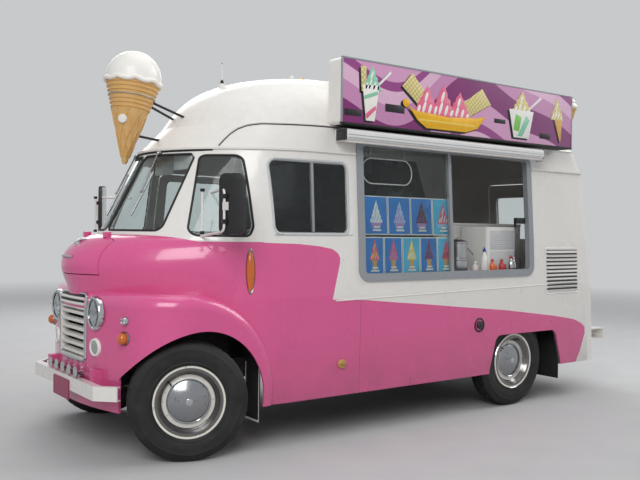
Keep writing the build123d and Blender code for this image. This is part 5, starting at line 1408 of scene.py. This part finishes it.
def roof_trim(radius):
    """Roof lip with its sealant, elbow, grooves, rail and ends of the awning, knobs and aerial foot."""
    skins = "roof side_wall_left cab_shell"
    for name, thick, drop, proud, finish in (("roof_lip", radius, 0.0, 0.004, "white"),
                                             ("roof_lip_sealant", 0.0035, 0.0105, 0.002, "rubber")):
        line = [(x, ROOF_LIP - drop) for x in (-1.90, -1.40, -0.90, -0.40, 0.10, 0.60, 1.05, 1.33)]
        line += [(1.40, ROOF_LIP - 0.012 - drop), (1.46, ROOF_LIP - 0.038 - drop),
                 (1.51, ROOF_LIP - 0.074 - drop), (1.555, ROOF_LIP - 0.116 - drop),
                 (1.60, ROOF_LIP - 0.162 - drop)]
        bead = wire(lying_on(dense(line, 0.06, False), "Y", 1, skins, proud), thick, round_turns=2)
        both_sides(bead, name, finish)
    low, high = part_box("awning_housing")
    elbow = wire([(low[0] - 0.001, high[1] - 0.030, low[2] + 0.010),
                  (low[0] - 0.030, high[1] - 0.028, low[2] + 0.002),
                  (low[0] - 0.045, high[1] - 0.060, low[2] - 0.010),
                  (low[0] - 0.030, high[1] - 0.105, low[2] - 0.012)], 0.010, smooth=True)
    settle(elbow, "awning_elbow", "white")
    grooves = [wire([(low[0] + 0.01, high[1] + 0.0004, z), (high[0] - 0.01, high[1] + 0.0004, z)], 0.0022,
                    round_turns=1) for z in (low[2] + 0.020, low[2] + 0.040)]
    settle(grooves, "awning_grooves", "grey")
    roll = wire([(low[0] + 0.012, high[1] - 0.028, low[2] - 0.002),
                 (high[0] - 0.012, high[1] - 0.028, low[2] - 0.002)], 0.011, round_turns=4)
    settle(roll, "awning_front_rail", "white")
    caps = [brick((x - 0.004, 0.880, low[2] + 0.002), (x + 0.004, high[1] - 0.002, high[2] - 0.002),
                  0.003) for x in (low[0] - 0.002, high[0] + 0.002)]
    settle(caps, "awning_end_caps", "dark_plastic")
    for index, (x, y, size) in enumerate(((0.560, 0.060, 1.0), (0.700, 0.120, 0.8))):
        place, facing = spot_on("Z", 1, x, y, "roof")
        knob = lathe([(0.0, 0.052 * size), (0.012 * size, 0.050 * size), (0.022 * size, 0.038 * size),
                      (0.014 * size, 0.026 * size), (0.016 * size, 0.012 * size),
                      (0.038 * size, 0.004 * size), (0.040 * size, -0.012), (0.0, -0.012)], place, facing,
                     28)
        settle(knob, f"roof_vent_knob_{index + 1}", ("brass", "roof")[index])
    whip = lathe([(0.0, 0.0), (0.014, 0.0), (0.012, 0.020), (0.006, 0.030), (0.0, 0.032)],
                 (AERIAL_X, AERIAL_Y, 2.527), (0, 0, 1), 20)
    settle(whip, "aerial_foot", "rubber")
    tip = lathe([(0.0, 0.006), (0.004, 0.004), (0.0045, 0.0), (0.0, -0.004)], (AERIAL_X, AERIAL_Y, 2.676),
                (0, 0, 1), 12)
    settle(tip, "aerial_tip", "dark_plastic")


# Place of the inner bar and of the outer arm of a mirror
MIRROR_BAR, MIRROR_ARM = (1.892, 0.888), (1.815, 1.030)


def mirror_pieces():
    """Shells, glass, inner bars and clamps of the two mirrors."""
    for side, label in ((1, "left"), (-1, "right")):
        turn = Matrix.Rotation(side * math.radians(33.0), 4, "Z")
        place = Matrix.Translation((1.772, side * 1.050, 1.610)) @ turn
        turned = place @ Matrix(((0, 0, 1, 0), (1, 0, 0, 0), (0, 1, 0, 0), (0, 0, 0, 1)))
        shell = flat_shape(rounded(rectangle(-0.083, 0.083, -0.184, 0.184), 0.040, 8), 0.0235, turned,
                           0.003)
        settle(shell, f"mirror_shell_{label}", "dark_plastic")
        pane = flat_shape(rounded(rectangle(-0.076, 0.076, -0.176, 0.176), 0.02), 0.002,
                          place @ Matrix(((0, 0, -1, -0.0142), (1, 0, 0, 0), (0, 1, 0, 0), (0, 0, 0, 1))),
                          0.0004)
        settle(pane, f"mirror_glass_{label}", "chrome")
        bar_y, arm_y = side * MIRROR_BAR[1], side * MIRROR_ARM[1]
        bar = wire([(MIRROR_BAR[0], bar_y, 1.424), (MIRROR_BAR[0], bar_y, 1.697)], 0.0075, round_turns=4)
        settle(bar, f"mirror_inner_bar_{label}", "white")
        clamps = []
        for x, y, half, wide, tall, heights in ((MIRROR_BAR[0], bar_y, 0.012, 0.012, 0.010, (1.430, 1.694)),
                                                (MIRROR_ARM[0], arm_y, 0.016, 0.014, 0.014, (1.500, 1.655))):
            for z in heights:
                clamps.append(brick((x - half, y - wide, z - tall), (x + half, y + wide, z + tall), 0.004))
        settle(clamps, f"mirror_clamps_{label}", "dark_plastic")


# Middle of each number plate: distance from the centreline and height
PLATE_REAR, PLATE_FRONT = (-0.490, 0.720), (0.0, 0.390)


def rear_pieces():
    """Door handle, step treads and the edges of the plates."""
    x = tail_x(1.230)
    handle = [brick((x - 0.040, -0.275, 1.222), (x - 0.026, -0.165, 1.240), 0.005),
              brick((x - 0.034, -0.270, 1.216), (x + 0.004, -0.250, 1.246), 0.003)]
    settle(handle, "rear_door_handle", "chrome", "rear_door")
    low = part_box("bumpers")[0]
    treads = [brick((low[0] + 0.012 + k * 0.026, -0.66, 0.5615), (low[0] + 0.022 + k * 0.026, 0.66, 0.5640),
                    0.001, 1) for k in range(5)]
    settle(treads, "step_treads", "dull_chrome")
    rear = tail_x(PLATE_REAR[1]) - 0.013
    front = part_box("number_plates")[1][0] + 0.0006
    for name, x, lean, (y, height), finish, slot in (
        ("rear", rear, 1 / 14.0, PLATE_REAR, "dull_chrome", "chrome"),
        ("front", front, 0.0, PLATE_FRONT, "plates", "plate_white"),
    ):
        border = rounded(rectangle(y - 0.146, y + 0.146, height - 0.061, height + 0.061), 0.01)
        edge = wire([(x + (z - height) * lean, y, z) for y, z in border], 0.0022, closed=True,
                    round_turns=1)
        settle(edge, name + "_plate_edge", finish)


def flap_edges():
    """Pale edging on the mud flaps."""
    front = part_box("mud_flaps")[1][0]
    strips = []
    for side in (1, -1):
        inner, outer = side * 0.645, side * 0.820
        strips.append(brick((front - 0.0075, min(inner, outer), 0.172),
                            (front + 0.001, max(inner, outer), 0.186), 0.001, 1))
        for y in (inner, outer - side * 0.008):
            strips.append(brick((front - 0.0075, min(y, y + side * 0.008), 0.186),
                                (front + 0.001, max(y, y + side * 0.008), 0.560), 0.001, 1))
    settle(strips, "flap_edging", "paper")


def swell(obj, pressure, most):
    """Inflate a padded block with a short cloth run, with its movement capped."""
    before = [vertex.co.copy() for vertex in obj.data.vertices]
    only(obj)
    cloth = obj.modifiers.new("swell", "CLOTH")
    cloth.settings.use_pressure = True
    cloth.settings.uniform_pressure_force = pressure
    cloth.settings.effector_weights.gravity = 0.0
    cloth.point_cache.frame_start = 1
    cloth.point_cache.frame_end = 20
    for step in range(1, 21):
        bpy.context.scene.frame_set(step)
    bpy.ops.object.modifier_apply(modifier=cloth.name)
    bpy.context.scene.frame_set(1)
    for vertex, start in zip(obj.data.vertices, before):
        move = vertex.co - start
        if move.length > most:
            vertex.co = start + move.normalized() * most


# Padded parts of the seat: name, corners, axis its sewn face looks along, channels
PADS = [("seat_cushion", (0.852, -0.640, 0.826), (1.268, -0.180, 0.918), 2, 5),
        ("seat_backrest", (0.812, -0.640, 0.940), (0.868, -0.180, 1.468), 0, 5)]


def seat_pieces():
    """Padded cushion and backrest with sewn channels over the CAD seat."""
    for name, low, high, face, channels in PADS:
        pad = brick(low, high, 0.022, 4)
        fix_place(pad)
        apply_modifier(pad, "REMESH", mode="VOXEL", voxel_size=0.009)
        swell(pad, 4.0, 0.010)
        for vertex in pad.data.vertices:
            point = vertex.co
            depth = (high[face] - point[face]) / (high[face] - low[face])
            if depth < 0.5:
                share = (point.y - low[1]) / (high[1] - low[1]) * channels
                groove = math.exp(-(((share - round(share)) * 12.0) ** 2))
                if 0.5 < share < channels - 0.5:
                    point[face] -= 0.009 * groove
        apply_modifier(pad, "SUBSURF", levels=1, render_levels=1)
        settle(pad, name, "vinyl", angle=1.2)
    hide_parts("seat")
    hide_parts("seat")


def cab_pieces():
    """Gauges, gear lever and sun visors inside the cab."""
    dial = [(0.0, 0.004), (0.034, 0.004), (0.038, 0.010), (0.042, 0.004), (0.042, -0.01), (0.0, -0.01)]
    gauges = [lathe(dial, (1.998, y, 1.335), (-1, 0, 0.1), 28) for y in (-0.50, -0.40, -0.30)]
    settle(gauges, "gauges", "dull_chrome")
    lever = wire([(1.50, -0.05, 0.60), (1.48, -0.06, 0.90), (1.44, -0.08, 1.02)], 0.007, smooth=True)
    ball = lathe([(0.0, -0.018), (0.014, -0.012), (0.019, 0.0), (0.014, 0.012), (0.0, 0.018)],
                 (1.44, -0.08, 1.03), (0, 0, 1), 20)
    settle([lever, ball], "gear_lever", "dark_plastic")
    visors = []
    for y in (-0.44, 0.20):
        x = front_x(abs(y) + 0.1, 1.90) - 0.110
        visors.append(brick((x - 0.012, y - 0.03, 1.86), (x + 0.002, y + 0.27, 1.965), 0.005))
    settle(visors, "sun_visors", "laminate")


def underside_pieces():
    """Bands of the silencer."""
    line = [(0.0765, -0.012), (0.079, -0.010), (0.079, 0.010), (0.0765, 0.012)]
    bands = [lathe(line, (x, -0.250, 0.375), (1, 0, 0), 28) for x in (-0.255, 0.255)]
    settle(bands, "silencer_bands", "exhaust")


# stage


CAMERA_PLACE = (4.286, 5.334, 1.449)
CAMERA_YAW, CAMERA_PITCH, CAMERA_ROLL = (math.radians(a) for a in (-126.638, -0.642, 0.682))
CAMERA_LENS = 45.32
# Distances at which the floor starts and ends its fade into the sky
FLOOR_FADE = (8.0, 17.0)
# Lamps: name, place, size and power
LAMPS = [("key", (6.5, 6.5, 6.0), 5.0, 420.0), ("fill", (-7.5, 3.0, 7.0), 5.0, 330.0),
         ("back", (-2.0, -7.5, 6.0), 6.0, 330.0), ("top", (0.0, 0.0, 8.0), 6.0, 130.0)]
# Strength of the sky on surfaces, and what the view, metal and glass see of it besides
SKY_LIGHT, SKY_SEEN = 0.36, 0.26


def place_camera():
    """Camera at the photograph's viewpoint."""
    ahead = Vector((math.cos(CAMERA_YAW) * math.cos(CAMERA_PITCH),
                    math.sin(CAMERA_YAW) * math.cos(CAMERA_PITCH), math.sin(CAMERA_PITCH)))
    right = Vector((math.sin(CAMERA_YAW), -math.cos(CAMERA_YAW), 0.0))
    up = right.cross(ahead)
    across = right * math.cos(CAMERA_ROLL) + up * math.sin(CAMERA_ROLL)
    upright = up * math.cos(CAMERA_ROLL) - right * math.sin(CAMERA_ROLL)
    data = bpy.data.cameras.new("camera")
    data.lens = CAMERA_LENS
    data.sensor_width = 36.0
    camera = bpy.data.objects.new("camera", data)
    bpy.context.scene.collection.objects.link(camera)
    turn = Matrix((across, upright, -ahead)).transposed().to_4x4()
    camera.matrix_world = Matrix.Translation(CAMERA_PLACE) @ turn
    bpy.context.scene.camera = camera


def lay_floor():
    """Plain pale floor."""
    deselect()
    bpy.ops.mesh.primitive_plane_add(size=90.0, location=(0, 0, 0))
    floor = bpy.context.object
    floor.name = "stage_floor"
    material, tree, shader = new_surface("stage_grey")
    place = axes_of(tree)[0]
    tint = mixed(tree, noise(tree, place, 3.0, 4.0), (0.50, 0.50, 0.51, 1.0), (0.58, 0.58, 0.58, 1.0))
    lay(tree, shader, "Base Color", tint)
    shader.inputs["Roughness"].default_value = 0.9
    fade = ranged(tree, vector(tree, "LENGTH", place), FLOOR_FADE[0], FLOOR_FADE[1])
    clear = add_node(tree, "ShaderNodeBsdfTransparent", {})
    blend = add_node(tree, "ShaderNodeMixShader", {0: fade, 1: shader.outputs[0], 2: clear.outputs[0]})
    output = next(node for node in tree.nodes if node.type == "OUTPUT_MATERIAL")
    tree.links.new(blend.outputs[0], output.inputs["Surface"])
    floor.data.materials.append(material)


def hang_lamps():
    """Soft lamps above and beside the truck and an even sky."""
    for name, place, size, power in LAMPS:
        data = bpy.data.lights.new(name, "AREA")
        data.shape = "SQUARE"
        data.size = size
        data.energy = power
        lamp = bpy.data.objects.new("lamp_" + name, data)
        bpy.context.scene.collection.objects.link(lamp)
        look = Vector((0.2, 0.0, 1.0)) - Vector(place)
        lamp.rotation_euler = look.to_track_quat("-Z", "Y").to_euler()
        lamp.location = place
    world = bpy.data.worlds.new("sky")
    bpy.context.scene.world = world
    world.use_nodes = True
    sky = world.node_tree.nodes["Background"]
    sky.inputs["Color"].default_value = (0.92, 0.94, 0.96, 1.0)
    tree = world.node_tree
    rays = tree.nodes.new("ShaderNodeLightPath").outputs
    seen = sum_of(tree, "MAXIMUM", rays["Is Camera Ray"], rays["Is Glossy Ray"])
    seen = sum_of(tree, "MAXIMUM", seen, rays["Is Transmission Ray"])
    level = sum_of(tree, "ADD", times(tree, seen, SKY_SEEN), SKY_LIGHT)
    tree.links.new(level, sky.inputs["Strength"])


# settings and operators


class TruckSettings(bpy.types.PropertyGroup):
    """Colours and small sizes of the truck's trim."""

    lower_paint: bpy.props.FloatVectorProperty(
        name="Lower paint", description="Colour of the nose, wings and lower sides", subtype="COLOR", size=3,
        min=0.0, max=1.0, default=srgb(220, 88, 146)[:3])
    upper_paint: bpy.props.FloatVectorProperty(
        name="Upper paint", description="Colour of the cab top, box and roof", subtype="COLOR", size=3,
        min=0.0, max=1.0, default=srgb(232, 229, 224)[:3])
    seal_radius: bpy.props.FloatProperty(
        name="Seal radius", description="Half the width of the rubber strips round the panes", unit="LENGTH",
        min=0.005, max=0.012, default=0.0085, precision=4)
    rivet_radius: bpy.props.FloatProperty(
        name="Rivet radius", description="Half the width of a rivet head on the sides", unit="LENGTH",
        min=0.003, max=0.008, default=0.006, precision=4)
    lip_radius: bpy.props.FloatProperty(
        name="Roof lip radius", description="Half the thickness of the bead along the roof", unit="LENGTH",
        min=0.004, max=0.010, default=0.0075, precision=4)


class TRUCK_OT_paint(bpy.types.Operator):
    """Make every finish and give the built parts their paint, glass and metal"""

    bl_idname = "truck.paint"
    bl_label = "Paint truck"

    def execute(self, context):
        make_finishes(context.scene.truck_paint)
        paint_nodes()
        return {"FINISHED"}


class TRUCK_OT_wheels(bpy.types.Operator):
    """Model the four tyres, the cap beads and the valves"""

    bl_idname = "truck.wheels"
    bl_label = "Fit tyres and wheels"

    def execute(self, context):
        tyre_pieces()
        wheel_pieces()
        return {"FINISHED"}


class TRUCK_OT_seals(bpy.types.Operator):
    """Lay rubber strips and tracks round every window"""

    bl_idname = "truck.seals"
    bl_label = "Fit window seals"

    def execute(self, context):
        window_seals(context.scene.truck_paint.seal_radius)
        return {"FINISHED"}


class TRUCK_OT_lamps(bpy.types.Operator):
    """Add rims, flutes and rings to the lamps"""

    bl_idname = "truck.lamps"
    bl_label = "Fit lamps"

    def execute(self, context):
        headlamp_pieces()
        small_lamp_pieces()
        return {"FINISHED"}


class TRUCK_OT_nose(bpy.types.Operator):
    """Add the grille surround, bonnet handle, mascot and air line"""

    bl_idname = "truck.nose"
    bl_label = "Trim nose"

    def execute(self, context):
        nose_trim()
        return {"FINISHED"}


class TRUCK_OT_sides(bpy.types.Operator):
    """Add mouldings, filler rings, handles, rivets and flap edges"""

    bl_idname = "truck.sides"
    bl_label = "Trim sides"

    def execute(self, context):
        side_trim()
        rivet_rows(context.scene.truck_paint.rivet_radius)
        flap_edges()
        return {"FINISHED"}


class TRUCK_OT_hatch(bpy.types.Operator):
    """Add picture cards, the canister, bottles and stock"""

    bl_idname = "truck.hatch"
    bl_label = "Stock hatch"

    def execute(self, context):
        hatch_posters()
        hatch_goods()
        return {"FINISHED"}


class TRUCK_OT_sign(bpy.types.Operator):
    """Add the sign's print, edges, desserts and small cone"""

    bl_idname = "truck.sign"
    bl_label = "Dress sign"

    def execute(self, context):
        sign_pieces()
        small_cone()
        return {"FINISHED"}


class TRUCK_OT_cone(bpy.types.Operator):
    """Add wafer ribs, drips of ice, a badge and a clamp band"""

    bl_idname = "truck.cone"
    bl_label = "Dress cone"

    def execute(self, context):
        cone_pieces()
        return {"FINISHED"}


class TRUCK_OT_roof(bpy.types.Operator):
    """Add the roof lip, awning rail, vent knobs and aerial foot"""

    bl_idname = "truck.roof"
    bl_label = "Trim roof"

    def execute(self, context):
        roof_trim(context.scene.truck_paint.lip_radius)
        return {"FINISHED"}


class TRUCK_OT_mirrors(bpy.types.Operator):
    """Add shells, glass, bars and clamps to the mirrors"""

    bl_idname = "truck.mirrors"
    bl_label = "Fit mirrors"

    def execute(self, context):
        mirror_pieces()
        return {"FINISHED"}


class TRUCK_OT_rear(bpy.types.Operator):
    """Add the door handle, step treads and plate edges"""

    bl_idname = "truck.rear"
    bl_label = "Trim tail"

    def execute(self, context):
        rear_pieces()
        return {"FINISHED"}


class TRUCK_OT_cab(bpy.types.Operator):
    """Add the padded seat, gauges, gear lever and sun visors"""

    bl_idname = "truck.cab"
    bl_label = "Fit cab"

    def execute(self, context):
        seat_pieces()
        cab_pieces()
        return {"FINISHED"}


class TRUCK_OT_underside(bpy.types.Operator):
    """Add the silencer's bands"""

    bl_idname = "truck.underside"
    bl_label = "Fit underside"

    def execute(self, context):
        underside_pieces()
        return {"FINISHED"}


class TRUCK_OT_stage(bpy.types.Operator):
    """Lay the floor, hang the lamps and place the camera"""

    bl_idname = "truck.stage"
    bl_label = "Set stage"

    def execute(self, context):
        lay_floor()
        hang_lamps()
        place_camera()
        return {"FINISHED"}


STEPS = [
    TRUCK_OT_paint,
    TRUCK_OT_wheels,
    TRUCK_OT_seals,
    TRUCK_OT_lamps,
    TRUCK_OT_nose,
    TRUCK_OT_sides,
    TRUCK_OT_hatch,
    TRUCK_OT_sign,
    TRUCK_OT_cone,
    TRUCK_OT_roof,
    TRUCK_OT_mirrors,
    TRUCK_OT_rear,
    TRUCK_OT_cab,
    TRUCK_OT_underside,
    TRUCK_OT_stage,
]


class TRUCK_PT_panel(bpy.types.Panel):
    """Sidebar panel with the truck's colours and steps"""

    bl_idname = "TRUCK_PT_panel"
    bl_label = "Truck"
    bl_space_type = "VIEW_3D"
    bl_region_type = "UI"
    bl_category = "Truck"

    def draw(self, context):
        paint = context.scene.truck_paint
        self.layout.prop(paint, "lower_paint")
        self.layout.prop(paint, "upper_paint")
        self.layout.prop(paint, "seal_radius")
        self.layout.prop(paint, "rivet_radius")
        self.layout.prop(paint, "lip_radius")
        for step in STEPS:
            self.layout.operator(step.bl_idname)


CLASSES = [TruckSettings, *STEPS, TRUCK_PT_panel]


def register():
    for item in CLASSES:
        bpy.utils.register_class(item)
    bpy.types.Scene.truck_paint = bpy.props.PointerProperty(type=TruckSettings)


def unregister():
    del bpy.types.Scene.truck_paint
    for item in reversed(CLASSES):
        bpy.utils.unregister_class(item)


def main():
    register()
    bpy.context.scene.view_settings.view_transform = "Standard"
    bpy.ops.truck.paint()
    bpy.ops.truck.wheels()
    bpy.ops.truck.seals()
    bpy.ops.truck.lamps()
    bpy.ops.truck.nose()
    bpy.ops.truck.sides()
    bpy.ops.truck.hatch()
    bpy.ops.truck.sign()
    bpy.ops.truck.cone()
    bpy.ops.truck.roof()
    bpy.ops.truck.mirrors()
    bpy.ops.truck.rear()
    bpy.ops.truck.cab()
    bpy.ops.truck.underside()
    bpy.ops.truck.stage()


if __name__ == "__main__":
    main()
